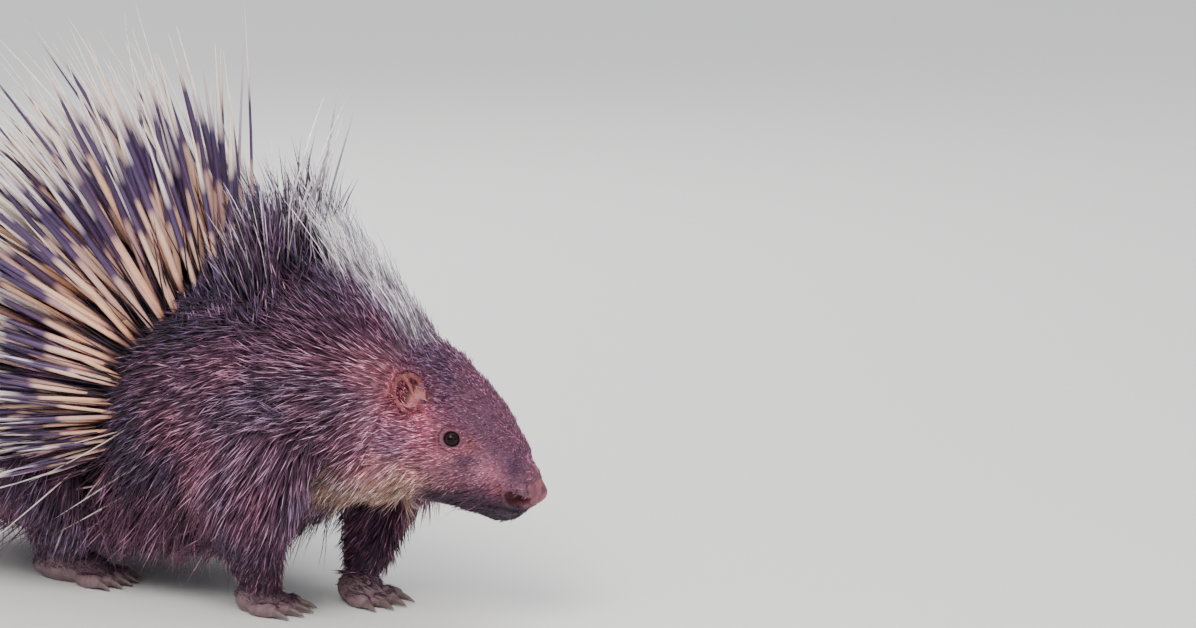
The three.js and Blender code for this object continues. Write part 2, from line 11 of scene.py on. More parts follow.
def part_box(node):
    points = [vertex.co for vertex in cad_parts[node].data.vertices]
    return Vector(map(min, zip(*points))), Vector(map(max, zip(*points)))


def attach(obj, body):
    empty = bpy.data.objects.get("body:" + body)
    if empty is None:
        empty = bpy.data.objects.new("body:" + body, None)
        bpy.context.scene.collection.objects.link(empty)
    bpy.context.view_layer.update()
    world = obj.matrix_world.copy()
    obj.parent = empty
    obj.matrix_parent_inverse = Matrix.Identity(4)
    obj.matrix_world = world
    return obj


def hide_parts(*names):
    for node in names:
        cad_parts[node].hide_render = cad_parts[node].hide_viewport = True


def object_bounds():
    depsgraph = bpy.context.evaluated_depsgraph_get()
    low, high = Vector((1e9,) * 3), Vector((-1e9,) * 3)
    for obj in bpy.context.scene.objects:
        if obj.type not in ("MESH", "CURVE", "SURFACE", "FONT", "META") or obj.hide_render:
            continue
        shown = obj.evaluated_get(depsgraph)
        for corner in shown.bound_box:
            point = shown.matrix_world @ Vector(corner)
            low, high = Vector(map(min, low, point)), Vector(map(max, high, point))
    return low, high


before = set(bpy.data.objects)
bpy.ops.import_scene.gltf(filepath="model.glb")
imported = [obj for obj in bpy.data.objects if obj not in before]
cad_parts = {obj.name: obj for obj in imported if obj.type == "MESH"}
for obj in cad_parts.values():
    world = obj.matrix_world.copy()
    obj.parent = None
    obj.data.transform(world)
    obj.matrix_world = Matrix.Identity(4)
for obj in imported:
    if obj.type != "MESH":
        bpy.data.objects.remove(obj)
cadBox = [list(corner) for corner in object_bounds()]

# Sizes below are millimetres in the walking frame: +X forwards, +Y to the animal's left, +Z up.
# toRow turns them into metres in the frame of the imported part, by the place of the right eye.
mm = 0.001
pose = {"eye": (222.59, -11.06, 131.05), "neckTurn": 12.0, "noseTip": (267.0, 30.0, 97.0)}
eyeLow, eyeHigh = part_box("eye_right")
shift = np.array((eyeLow + eyeHigh) / 2) - np.array(pose["eye"]) * mm


def toRow(points):
    return np.asarray(points, float) * mm + shift


headPose = Matrix.Translation(pose["noseTip"]) @ Matrix.Rotation(math.radians(pose["neckTurn"]), 4, "Z")
headTurn = np.array(headPose.to_3x3())


def fromHead(points):
    return np.asarray(points, float) @ headTurn.T + np.array(pose["noseTip"])


def toHead(points):
    return (np.asarray(points, float) - np.array(pose["noseTip"])) @ headTurn


def smooth(low, high, value):
    t = np.clip((np.asarray(value, float) - low) / (high - low), 0, 1)
    return t * t * (3 - 2 * t)


def ridge(value, at, width):  # 1 at a value, less on both sides of it
    return np.exp(-((value - at) / width) ** 2)


def unit(vectors):
    return vectors / np.maximum(np.linalg.norm(vectors, axis=-1, keepdims=True), 1e-9)


# Body forms: spheres drawn out along a centre line, with half sizes at even stations from the back
# end forwards, or from a leg's top downwards. The head's own frame starts at the nose tip.
trunk = {
    "centre": [(-222, 0, 120), (-165, 0, 138), (-90, 0, 147), (-15, 0, 149),
               (60, 0, 146), (112, 0, 139), (154, 0, 130)],
    "wide": [70, 88, 96, 97, 88, 78, 66],
    "high": [66, 86, 92, 89, 88, 84, 70],
    "low": [66, 88, 94, 96, 94, 84, 66],
    "blunt": 0.6,
}
neck = {
    "centre": [(62, 0, 150), (104, 1, 152), (146, 4, 145), (192, 13, 134)],
    "wide": [70, 64, 57, 48],
    "high": [84, 85, 71, 56],
    "low": [70, 70, 63, 52],
    "blunt": 0.5,
}
tail = {
    "centre": [(-284, 0, 90), (-262, 0, 98), (-228, 0, 112), (-196, 0, 122)],
    "wide": [14, 20, 26, 30],
    "high": [12, 18, 24, 28],
    "low": [12, 18, 24, 28],
    "blunt": 0.6,
}
head = {
    "centre": [(-124, 0, 40), (-98, 0, 38), (-76, 0, 30), (-56, 0, 20),
               (-36, 0, 9), (-17, 0, 2), (-1, 0, -2)],
    "wide": [56, 52, 44, 38, 31, 25, 20],
    "high": [66, 68, 55, 46, 38, 31, 20],
    "low": [66, 62, 46, 39, 34, 31, 20],
    "blunt": 0.62,
    "egg": 0.2,
}
legs = {
    "front_leg_right": {
        "centre": [(106, -44, 150), (96, -62, 108), (88, -60, 66), (84, -44, 16)],
        "wide": [30, 26, 21, 16], "deep": [46, 40, 30, 21],
        "heel": (63, -44), "toes": (104, -38), "half": 16, "digits": 4, "claw": 12,
    },
    "front_leg_left": {
        "centre": [(120, 44, 148), (118, 60, 108), (112, 52, 68), (118, 24, 16)],
        "wide": [30, 26, 21, 16], "deep": [46, 40, 30, 21],
        "heel": (103, 22), "toes": (143, 16), "half": 16, "digits": 4, "claw": 12,
    },
    "hind_leg_right": {
        "centre": [(-118, -50, 140), (-98, -78, 100), (-78, -76, 62), (-104, -56, 16)],
        "wide": [38, 30, 24, 16], "deep": [62, 54, 36, 20],
        "heel": (-118, -54), "toes": (-46, -48), "half": 17, "digits": 5, "claw": 10,
    },
    "hind_leg_left": {
        "centre": [(-140, 50, 138), (-130, 78, 98), (-126, 76, 60), (-170, 56, 16)],
        "wide": [38, 30, 24, 16], "deep": [62, 54, 36, 20],
        "heel": (-190, 54), "toes": (-118, 48), "half": 17, "digits": 5, "claw": 10,
    },
}
for leg in legs.values():
    leg.update(high=leg["deep"], low=leg["deep"], blunt=0.35)
toe = {"radius": 5.6, "length": 17, "spread": 0.16}
sides = {"right": -1, "left": 1}


def between(values, f):  # on a smooth curve through even stations
    values = np.asarray(values, float)
    last = len(values) - 1
    place = np.clip(f, 0, 1) * last
    k = np.minimum(place.astype(int), last - 1)
    u = place - k
    if values.ndim > 1:
        u = u[..., None]
    a, b, c, d = (values[np.clip(k + i, 0, last)] for i in (-1, 0, 1, 2))
    return b + 0.5 * u * (c - a + u * (2 * a - 5 * b + 4 * c - d + u * (3 * (b - c) + d - a)))


def surface(form, polar, angle, grow=0.0):  # polar 0 to 1 from end to end, angle 0 at the left side
    polar, angle = np.broadcast_arrays(np.asarray(polar, float), np.asarray(angle, float))
    turn = np.pi * polar
    f = (1 - np.cos(turn)) / 2
    swell = np.clip(np.sin(turn), 0, 1) ** form["blunt"]
    step = 0.01
    forward = unit(between(form["centre"], np.minimum(f + step, 1))
                   - between(form["centre"], np.maximum(f - step, 0)))
    across = np.broadcast_to(np.array([0.0, 1.0, 0.0]), forward.shape)
    over = unit(np.cross(forward, across))
    rise = np.sin(angle)
    wide = (between(form["wide"], f) * (1 - form.get("egg", 0) * rise) + grow) * swell
    tall = (np.where(rise > 0, between(form["high"], f), between(form["low"], f)) + grow) * swell
    return (between(form["centre"], f) + across * (np.cos(angle) * wide)[..., None]
            + over * (rise * tall)[..., None] - forward * (np.cos(turn) * grow)[..., None])


# Mesh helpers. bmesh may list faces and their corners in any order, so both are sorted: every run then
# cuts the faces alike and gives the same result.
def sortedFaces(bm):
    bm.verts.index_update()
    faces = []
    for face in bm.faces:
        corners = [v.index for v in face.verts]
        first = (corners.index(min(corners)) - 1) % len(corners)
        faces.append(corners[first:] + corners[:first])
    return sorted(faces)


def meshOf(name, bm):
    bmesh.ops.recalc_face_normals(bm, faces=bm.faces)
    mesh = bpy.data.meshes.new(name)
    mesh.from_pydata([v.co for v in bm.verts], [], sortedFaces(bm))
    bm.free()
    return mesh


def linked(name, mesh):
    made = bpy.data.objects.new(name, mesh)
    bpy.context.scene.collection.objects.link(made)
    return made


def valuesOf(mesh, key):
    values = np.zeros(len(mesh.vertices) * 3)
    mesh.vertices.foreach_get(key, values)
    return values.reshape(-1, 3)


def setCoords(mesh, coords):
    mesh.vertices.foreach_set("co", np.asarray(coords, np.float32).ravel())
    mesh.update()


def setMark(mesh, key, values):
    mesh.attributes.new(key, "FLOAT", "POINT").data.foreach_set("value", values.astype(np.float32))


def roundForm(around, along):
    bm = bmesh.new()
    bmesh.ops.create_uvsphere(bm, u_segments=around, v_segments=along, radius=1)
    return bm


def drawn(form, around, along, grow=0.0):
    bm = roundForm(around, along)
    start = np.array([v.co for v in bm.verts])
    polar = np.arccos(np.clip(start[:, 2], -1, 1)) / np.pi
    for v, place in zip(bm.verts, surface(form, polar, np.arctan2(start[:, 1], start[:, 0]), grow)):
        v.co = place
    return bm


def ball(centre, radii, around=24, along=16, heading=0.0):
    bm = roundForm(around, along)
    turn = Euler((0, 0, heading)).to_matrix().to_4x4()
    matrix = Matrix.Translation(centre) @ turn @ Matrix.Diagonal((*radii, 1))
    bmesh.ops.transform(bm, matrix=matrix, verts=bm.verts)
    return bm


def merged(parts):
    whole = bmesh.new()
    for part in parts:
        mesh = meshOf("part", part)
        whole.from_mesh(mesh)
        bpy.data.meshes.remove(mesh)
    return whole


# One smooth closed mesh from overlapping parts: a voxel remesh and a smoothing, both applied
def melted(name, parts, voxel, rounds):
    mesh = bpy.data.meshes.new(name)
    whole = merged(parts)
    whole.to_mesh(mesh)
    whole.free()
    made = linked(name, mesh)
    remesh = made.modifiers.new("remesh", "REMESH")
    remesh.mode = "VOXEL"
    remesh.voxel_size = voxel
    relax = made.modifiers.new("relax", "SMOOTH")
    relax.iterations = rounds
    relax.factor = 0.5
    graph = bpy.context.evaluated_depsgraph_get()
    done = bpy.data.meshes.new_from_object(made.evaluated_get(graph))
    bpy.data.objects.remove(made)
    bpy.data.meshes.remove(mesh)
    return done


# Skin: the body under the coat, the head with its features, the ears and the feet, in one mesh.
# Body, head and foot give the voxel's size and the rounds of smoothing, the rest centres and half sizes.
skinLook = {
    "body": (4.0, 12), "head": (1.15, 10), "foot": (1.65, 6),
    "legInset": -3.0, "headInset": -1.6,
    "nosePad": ((-8.5, 0, -3), (8.5, 14.5, 11.5)),
    "lip": ((-25, 9.5, -11), (13, 10.5, 9.5)),
    "chin": ((-30, 0, -13), (18, 13, 12)),
    "cheek": ((-66, 24, 14), (26, 18, 22)),
    "brow": ((-60, 24, 44), (14, 9, 7)),
}


def mirrored(point, side):
    return np.array([point[0], point[1] * side, point[2]])


def addMesh(whole, mesh):
    whole.from_mesh(mesh)
    bpy.data.meshes.remove(mesh)


# Lid, fold, outerFold and swell give the place across the opening, the width and the height of a ring.
eye = {"centre": (-51.97, 30.93, 34.05), "normal": (0.407, 0.887, 0.216), "radius": 5.7,
       "sunk": 0.7, "long": 5.3, "high": 4.8, "tilt": 0.3, "bulge": 0.5, "clear": 0.55,
       "lid": (1.16, 0.2, 1.3), "fold": (1.62, 0.13, 0.55), "outerFold": (2.3, 0.2, 0.35),
       "swell": (1.95, 0.25, 0.5), "corner": 0.7}


# Distance across the eye's opening, 1 at the edge of the lids, in the head's own frame
def eyeOpening(p, side):
    way = unit(mirrored(eye["normal"], side))
    forward = unit(np.array([1.0, 0, 0]) - way * way[0])
    up = np.cross(way, forward)
    up *= np.sign(up[2])
    away = p - (mirrored(eye["centre"], side) - way * eye["sunk"])
    cos, sin = math.cos(eye["tilt"]), math.sin(eye["tilt"])
    a = away @ (forward * cos - up * sin)
    b = away @ (forward * sin + up * cos)
    near = smooth(30, 18, np.linalg.norm(away, axis=1))
    return np.hypot(a / eye["long"], b / eye["high"]), a, b, away @ way, near, way


def lidRing(d, look):
    at, width, high = eye[look]
    return ridge(d, at, width) * high


def pressEye(q, p, side):  # the lids with the folds round them, and the socket
    d, a, b, out, near, way = eyeOpening(p, side)
    upper = 1 + 0.5 * smooth(-1, 3, b)
    fold = lidRing(d, "fold") + lidRing(d, "outerFold")
    corner = smooth(5, 7, np.abs(a)) * smooth(13, 8, np.abs(a)) * ridge(b, 0, 0.8)
    raised = lidRing(d, "lid") * upper - fold + lidRing(d, "swell") - eye["corner"] * corner
    q += (raised * near)[:, None] * way
    socket = smooth(1.02, 0.88, d) * near
    q -= (socket * np.clip(out + 1.5, 0, None))[:, None] * way


nostril = {"centre": (-11.5, 14.0, -5.6), "half": 9.0, "high": 4.6, "rise": 0.36, "bent": 0.045,
           "deep": 6.0, "rim": 0.9, "groove": 0.5}


# Place along and across a nostril's comma, in the head's own frame
def nostrilPlace(p, side):
    along = unit(np.array([-1.0, 0, nostril["rise"]]))
    up = np.array([along[2], 0, -along[0]])
    away = p - mirrored(nostril["centre"], side)
    run = away @ along
    drop = away @ up - nostril["bent"] * run ** 2 + 1.4
    wide = nostril["high"] * (1 + 0.25 * smooth(-2, 6, run))
    return run, drop, np.hypot(run / nostril["half"], drop / wide), p[:, 1] * side > 4


def pressNostril(q, p, n, side):  # the hole with a raised rim, and a groove behind it
    _, _, opening, ownSide = nostrilPlace(p, side)
    inside = smooth(1.0, 0.4, opening) * ownSide
    rim = ridge(opening, 1.12, 0.26) * ownSide
    q += n * (rim * nostril["rim"] - inside * nostril["deep"])[:, None]
    groove = ridge(p[:, 0], -24, 2.2) * smooth(-12, -4, p[:, 2]) * smooth(12, 2, p[:, 2])
    q -= n * (groove * ownSide * nostril["groove"])[:, None]


mouth = {"front": -13, "corner": -40, "height": -14.5, "rise": 0.2, "arch": 2.6,
         "high": 1.2, "deep": 1.5, "lips": 0.9, "cleft": 1.7}


def mouthLevel(p):  # an arch under the cleft of the lip in front, and a gentle rise to the corners
    arch = mouth["arch"] * ridge(p[:, 1], 0, 4.5) * smooth(-22, -12, p[:, 0])
    return mouth["height"] - mouth["rise"] * np.minimum(p[:, 0] - mouth["front"], 0) + arch


def mouthSpan(p):
    return smooth(mouth["corner"], mouth["corner"] + 8, p[:, 0]) * smooth(-2, -9, p[:, 0])


def pressMouth(q, p, n):  # the line of the mouth between two lips, and the cleft of the upper one
    away = p[:, 2] - mouthLevel(p)
    span = mouthSpan(p)
    line = ridge(away, 0, mouth["high"]) * span
    lips = ridge(away, 3.6, 2.0) * span + 0.7 * ridge(away, -3.4, 2.0) * span
    q += n * (lips * mouth["lips"] - line * mouth["deep"])[:, None]
    cleft = ridge(p[:, 1], 0, 1.1) * smooth(-20, -8, p[:, 0]) * smooth(3, -5, p[:, 2])
    q -= n * (cleft * mouth["cleft"])[:, None]


nosePad = {"centre": (-2, 0, -3.5), "radii": (10, 12.5, 9.0), "back": -13,
           "uneven": 0.05, "lobes": 0.9, "edge": 0.7, "dome": 0.008}


# Distance across the bare pad of the nose, 1 at its edge, in the head's own frame
def padPlace(p):
    waves = np.sin(0.9 * p[:, 1] + 1) * nosePad["uneven"]
    waves += np.sin(0.7 * p[:, 2] * np.sign(p[:, 1])) * nosePad["uneven"]
    return np.linalg.norm((p - np.array(nosePad["centre"])) / np.array(nosePad["radii"]), axis=1) + waves


def pressPad(q, p, n):  # two lobes inside a sunk edge, domed in front
    pad = padPlace(p)
    lobes = nosePad["lobes"] * smooth(0.95, 0.3, pad) * smooth(0, 5, np.abs(p[:, 1]))
    lobes -= nosePad["edge"] * ridge(pad, 1.04, 0.09)
    q += n * (lobes * (p[:, 0] > nosePad["back"]))[:, None]
    aside = p[:, 1] ** 2 + (p[:, 2] - nosePad["centre"][2]) ** 2
    q[:, 0] -= nosePad["dome"] * aside * smooth(-16, -5, p[:, 0])


def sculptedHead(p, n):
    q = p.copy()
    for side in sides.values():
        pressEye(q, p, side)
        pressNostril(q, p, n, side)
    pressMouth(q, p, n)
    pressPad(q, p, n)
    return q


# Finer faces round the eyes, nostrils and mouth before the sculpting
def refined(mesh):
    bm = bmesh.new()
    bm.from_mesh(mesh)
    p = np.array([v.co for v in bm.verts])
    wanted = (np.abs(p[:, 2] - mouthLevel(p)) < 5) & (p[:, 0] > mouth["corner"] - 3)
    for side in sides.values():
        d, _, _, _, near, _ = eyeOpening(p, side)
        run, drop, _, ownSide = nostrilPlace(p, side)
        wanted |= (d < 2.4) & (near > 0.5)
        wanted |= (np.abs(run) < 12) & (np.abs(drop) < 7) & ownSide
    wanted |= (padPlace(p) < 1.25) & (p[:, 0] > nosePad["back"])
    edges = [e for e in bm.edges if wanted[e.verts[0].index] and wanted[e.verts[1].index]]
    bmesh.ops.subdivide_edges(bm, edges=edges, cuts=1, use_grid_fill=True)
    return meshOf("headSkin", bm)


def headMesh():
    parts = [drawn(head, 96, 96, skinLook["headInset"])]
    for name in ("nosePad", "chin"):
        parts.append(ball(*skinLook[name]))
    for side in sides.values():
        for name in ("lip", "cheek", "brow"):
            centre, radii = skinLook[name]
            parts.append(ball(mirrored(centre, side), radii))
    mesh = refined(melted("headBlock", parts, *skinLook["head"]))
    setCoords(mesh, sculptedHead(valuesOf(mesh, "co"), valuesOf(mesh, "normal")))
    mesh.transform(headPose)
    return mesh


ear = {"centre": (-79.5, 36.8, 64.0), "opening": (0.56, 0.8, 0.2), "up": (-0.3, 0.1, 0.95),
       "wide": 11.5, "tall": 14.5, "back": 7.8, "front": 7.2, "rim": 0.3, "fold": 5.2, "canal": 2.2}


def earFrame(side):  # the ways out of the ear, up it and forwards over it
    opening = unit(mirrored(ear["opening"], side))
    up = mirrored(ear["up"], side)
    up = unit(up - (up @ opening) * opening)
    return opening, up, np.cross(up, opening) * side


# A cup with a rolled rim, an inner fold and a hollow canal, open forwards and outwards
def earMesh(side):
    bm = roundForm(56, 40)
    opening, up, fore = earFrame(side)
    for v in bm.verts:
        x, y, z = v.co
        r = min(math.hypot(x, y), 1.0)
        dome = 1 - r * r
        if z > 0:
            fold = math.exp(-((x + 0.18 - 0.25 * y * y) / 0.16) ** 2) * ear["fold"] * dome ** 0.5
            canal = math.exp(-((x - 0.4) ** 2 + (y + 0.3) ** 2) / 0.06) * ear["canal"]
            depth = ear["rim"] * r ** 8 - ear["front"] * dome ** 0.8 + fold - canal * dome ** 0.3
        else:
            depth = -ear["back"] * dome ** 0.55
        turn = math.atan2(y, x)
        curl = 1 - 0.08 * math.exp(-((r - 0.8) / 0.1) ** 2) * (z > 0)
        curl += (0.05 * math.sin(3 * turn + 0.8) + 0.03 * math.sin(5 * turn)) * r
        tip = 1 + 0.1 * y
        place = mirrored(ear["centre"], side) + opening * depth
        forwards = x * ear["wide"] * curl * (1 - 0.12 * y)
        place = place + fore * forwards + up * (y * ear["tall"] * curl * tip)
        v.co = Vector(place)
    bmesh.ops.transform(bm, matrix=headPose, verts=bm.verts)
    bmesh.ops.smooth_vert(bm, verts=bm.verts, factor=0.4, use_axis_x=True, use_axis_y=True, use_axis_z=True)
    return meshOf("earSkin", bm)


# Heel and toes lie on the floor. Knuckle and tip are half sizes with their place along a toe.
foot = {"middle": (-5, 0, 9), "thick": 12.5, "knuckle": ((12, 5.2, 5.2), 6), "tip": ((7, 4.9, 5.0), 14),
        "tipLift": 0.6, "shankTop": 46, "flat": 0.6}


def footLine(leg):
    return Vector((*leg["heel"], 0)), Vector((*leg["toes"], 0))


def toeWays(leg):
    heel, toes = footLine(leg)
    way = (toes - heel).normalized()
    across = Vector((0, 0, 1)).cross(way)
    middle = (leg["digits"] - 1) / 2
    ways = []
    for i in range(leg["digits"]):
        share = (i - middle) / middle
        root = Vector((toes.x, toes.y, toe["radius"] - 1)) + across * share * (leg["half"] - 3)
        toeWay = (way + across * share * toe["spread"]).normalized()
        ways.append((root - way * (16 + 5 * share * share), toeWay))
    return ways


def footParts(leg):
    heel, toes = footLine(leg)
    run = toes - heel
    middle = (heel + toes) / 2 + Vector(foot["middle"])
    radii = (run.length / 2 - 3, leg["half"] - 1.5, foot["thick"])
    parts = [ball(middle, radii, heading=math.atan2(run.y, run.x))]
    for root, way in toeWays(leg):
        heading = math.atan2(way.y, way.x)
        for key, lift in (("knuckle", 0), ("tip", foot["tipLift"])):
            radii, along = foot[key]
            parts.append(ball(root + way * along + Vector((0, 0, lift)), radii, heading=heading))
    shank = drawn(leg, 40, 32, skinLook["legInset"])
    high = [v for v in shank.verts if v.co.z > foot["shankTop"]]
    bmesh.ops.delete(shank, geom=high, context="VERTS")
    bmesh.ops.holes_fill(shank, edges=[e for e in shank.edges if e.is_boundary])
    return parts + [shank]


def footMesh(name, leg):
    mesh = melted(name, footParts(leg), *skinLook["foot"])
    coords = valuesOf(mesh, "co")
    coords[:, 2] = np.where(coords[:, 2] < foot["flat"], 0.0, coords[:, 2])
    setCoords(mesh, coords)
    return mesh


def buildSkin():
    body = [drawn(trunk, 96, 72), drawn(neck, 80, 48), drawn(tail, 40, 32)]
    body += [drawn(leg, 48, 40, skinLook["legInset"]) for leg in legs.values()]
    whole = bmesh.new()
    addMesh(whole, melted("bodySkin", body, *skinLook["body"]))
    addMesh(whole, headMesh())
    for name, leg in legs.items():
        addMesh(whole, footMesh(name, leg))
    for side in sides.values():
        addMesh(whole, earMesh(side))
    tree = BVHTree.FromBMesh(whole)
    mesh = bpy.data.meshes.new("skin")
    whole.to_mesh(mesh)
    whole.free()
    return linked("skin", mesh), tree


skin, skinTree = buildSkin()
print("skin", len(skin.data.polygons), "faces")


# Markings and painted shade: shares from 0 to 1 at places on the body, which skin and coat both carry. In
# the lists of spots each has its centre in the head's own frame, its reach and its share.
# Of the dark spots, the second and third are painted shade beside the mouth and at its corner; the rest are
# dark marks
mauveAndShadeSpots = [((-42, 30.5, 20), 5.5, 1.1), ((-25, 18, -14), 12, 1.5), ((-44, 26, -8), 9, 1.0),
             ((-57, 33, 36), 4, 0.5), ((-70, 36, 24), 7, 0.4), ((-15, 15, 12), 6, 0.5),
             ((-58, 32, 3), 7, 0.5)]
flushSpots = [((-80, 38, 62), 16, 0.4), ((-39, 28, 30), 6, 0.6), ((-24, 19, 2), 7, 0.5),
              ((-62, 34, 22), 9, 0.3)]
cheekSpots = [((-84, 40, 10), 18, 0.34), ((-60, 34, 4), 12, 0.26)]
blushSpots = [((-26, 22.5, 9), 9, 1.0), ((-67, 35, 45), 12, 0.8), ((-50, 31, 42.5), 5, 0.7),
              ((-46, 30, 27), 4, 0.6), ((-88, 38, 44), 9, 0.5), ((-84, 42, 26), 16, 0.6),
              ((-66, 36, 8), 11, 0.5), ((-101, 46, 8), 14, 0.5)]


def quillEdge(z):  # how far forwards the quills grow at a height
    return 0.4 * z - 52 + 0.25 * np.maximum(z - 185, 0)


def oneSided(h):
    return np.stack([h[:, 0], np.abs(h[:, 1]), h[:, 2]], 1)


def earAway(h):
    return np.linalg.norm(oneSided(h) - np.array(ear["centre"]), axis=1)


def spotsAt(p, spots):  # soft round places on both sides of the head
    side = oneSided(toHead(p))
    total = 0
    for centre, reach, share in spots:
        total = total + share * ridge(np.linalg.norm(side - np.array(centre), axis=1), 0, reach)
    return total


def jawAt(h):  # the lower lip and chin, in the head's own frame, where the markings paint shade
    below = smooth(-2, -12, h[:, 2] - 0.25 * (-30 - h[:, 0]))
    return below * smooth(-84, -60, h[:, 0]) * smooth(-6, -14, h[:, 0])


def rosyAt(p):  # the pinkish face and cheeks, less pink on the chin under its painted shade
    h = toHead(p)
    pink = smooth(-128, -84, h[:, 0] + 0.25 * h[:, 2]) * (0.35 + 0.65 * smooth(108, 72, h[:, 2]))
    return pink * (1 - 0.55 * jawAt(h))


def mauveAndShadeAt(p):  # dark mauve along the crown and bridge and in spots, and painted shade round the mouth and under the chin
    h = toHead(p)
    top = np.interp(h[:, 0], [-124, -98, -76, -56, -36, -17, -1], [104, 104, 84, 65, 46, 32, 17])
    crown = smooth(-30, -8, h[:, 2] - top) * smooth(4, -14, h[:, 0])
    return np.clip(0.85 * crown + jawAt(h) + spotsAt(p, mauveAndShadeSpots), 0, 1)


def flushAt(p):  # redder places round the ear, before the eye and beside the muzzle
    return np.clip(spotsAt(p, flushSpots), 0, 1)


def blushAt(p):  # pale pink places beside the muzzle, over the eye and under the ear
    return np.clip(spotsAt(p, blushSpots), 0, 1)


def peachAt(p):  # the ear and the short hair round it
    return 0.75 * smooth(25, 9, earAway(toHead(p)))


def napeAway(p):  # sideways from the middle of the nape, which bends to the left towards the head
    return np.abs(p[:, 1] - 0.1 * np.maximum(p[:, 0] - 110, 0))


def whiteAt(p):  # the crest along the nape
    span = smooth(26, 6, napeAway(p)) * smooth(88, 100, p[:, 0]) * smooth(205, 165, p[:, 0])
    return span * smooth(165, 190, p[:, 2])


def paleAt(p):  # the tan and cream throat, with a little of it on the cheeks
    level = smooth(122, 98, p[:, 2]) * smooth(58, 72, p[:, 2])
    throatSpan = level * smooth(98, 126, p[:, 0]) * smooth(226, 196, p[:, 0])
    return np.clip(throatSpan + spotsAt(p, cheekSpots), 0, 1)


def grizzleAt(p):  # pale ended bristles are commoner on the neck and shoulders
    return smooth(-20, 110, p[:, 0]) * smooth(70, 150, p[:, 2])


def darkAndPaintedShadeAt(p):  # painted shade under the jaw, on the legs and low on the flanks; darker also just ahead of the quills and along the top of the withers
    beside = smooth(55, 10, p[:, 0] - quillEdge(p[:, 2])) * smooth(70, 120, p[:, 2])
    fore = smooth(-10, 60, p[:, 0])
    low = smooth(125, 68, p[:, 2]) * fore + 0.8 * smooth(118, 62, p[:, 2]) * (1 - fore)
    low = 0.8 * low * (1 - 0.75 * paleAt(p))
    top = smooth(198, 228, p[:, 2]) * smooth(150, 112, p[:, 0])
    return np.clip(0.8 * beside + low + 0.8 * top + 0.75 * jawAt(toHead(p)), 0, 1)


def noseAt(p):  # the bare pad of the nose
    return smooth(1.2, 0.85, padPlace(toHead(p)))


def footAt(p):
    return smooth(32, 16, p[:, 2])


def hollowShadeAt(p):  # dark red painted shade inside the nostrils, the ears and the line of the mouth
    h = toHead(p)
    total = 0.4 * ridge(h[:, 2], mouthLevel(h), 1.0) * mouthSpan(h)
    for side in sides.values():
        _, _, opening, ownSide = nostrilPlace(h, side)
        total = total + 1.1 * smooth(1.0, 0.7, opening) * ownSide * (h[:, 0] > -26)
        away = h - mirrored(ear["centre"], side)
        deep = away @ unit(mirrored(ear["opening"], side))
        total = total + smooth(-2.6, -4.6, deep) * smooth(13.5, 10, np.linalg.norm(away, axis=1)) * ownSide
    return np.clip(total, 0, 1)


def lidAt(p):  # the dark edge of the lids
    h = toHead(p)
    total = 0
    for side in sides.values():
        d, _, _, _, near, _ = eyeOpening(h, side)
        total = total + smooth(1.34, 1.12, d) * near
    return np.clip(total, 0, 1)


coatMarks = {"rosy": rosyAt, "mauveAndShade": mauveAndShadeAt, "flush": flushAt, "blush": blushAt, "peach": peachAt,
             "pale": paleAt, "white": whiteAt, "grizzle": grizzleAt, "darkAndPaintedShade": darkAndPaintedShadeAt}
skinMarks = {"nose": noseAt, "foot": footAt, "hollow": hollowShadeAt, "lid": lidAt}


# Roots of the coat: rows along a form at an even pace, set down on the skin
def sow(form, pace, rng, span=(0.02, 0.98), jitter=0.42):
    fine = np.linspace(*span, 200)
    grid = surface(form, fine[:, None], np.linspace(0, 2 * np.pi, 40)[None, :])
    travelled = np.concatenate([[0], np.linalg.norm(np.diff(grid, axis=0), axis=2).mean(1).cumsum()])
    rows = max(int(travelled[-1] / (pace * 0.9)), 1)
    polars, angles = [], []
    around = np.linspace(0, 2 * np.pi, 73)
    for row in range(rows):
        polar = np.interp((row + 0.5) / rows * travelled[-1], travelled, fine)
        ring = surface(form, polar, around)
        arc = np.concatenate([[0], np.linalg.norm(np.diff(ring, axis=0), axis=1).cumsum()])
        count = max(3, int(round(arc[-1] / pace)))
        at = (np.arange(count) + (row % 2) / 2 + rng.uniform(-jitter, jitter, count)) / count
        angles.append(np.interp((at % 1) * arc[-1], arc, around))
        polars.append(polar + rng.uniform(-jitter, jitter, count) * (span[1] - span[0]) / rows)
    polar = np.clip(np.concatenate(polars), 0.004, 0.996)
    angle = np.concatenate(angles)
    uv = np.stack([0.02 + 0.96 * polar, 0.02 + 0.96 * angle / (2 * np.pi)], 1)
    return surface(form, polar, angle), uv


def settled(points, uv, reach=6.0):  # the nearest place on the skin, or none where another part covers it
    places, normals, kept = [], [], []
    for k, point in enumerate(points):
        place, normal, _, _ = skinTree.find_nearest(Vector(point), reach)
        if place is not None:
            places.append(place)
            normals.append(normal)
            kept.append(k)
    return {"p": np.array(places), "n": np.array(normals), "uv": uv[kept]}


def pick(roots, mask):
    return {key: values[mask] for key, values in roots.items()}


def together(*sets):
    return {key: np.concatenate([one[key] for one in sets]) for key in sets[0]}


def laid(roots, lie, lift):  # along the lie of the coat, lifted off the skin by an angle
    n = roots["n"]
    along = unit(lie - (lie * n).sum(1, keepdims=True) * n)
    lift = np.broadcast_to(lift, len(n))[:, None]
    return unit(along * np.cos(lift) + n * np.sin(lift))


def stray(ways, rng, amount):
    return unit(ways + rng.normal(0, amount, ways.shape))


def clumped(roots, ways, long, rng, every, share):  # tips drawn towards those of a few leaders nearby
    tips = roots["p"] + ways * long[:, None]
    leaders = rng.choice(len(tips), max(len(tips) // every, 1), replace=False)
    tree = KDTree(len(leaders))
    for k in leaders:
        tree.insert(roots["p"][k], int(k))
    tree.balance()
    nearest = np.array([tree.find(place)[1] for place in roots["p"]])
    return unit(ways + share * (tips[nearest] - tips) / long[:, None])


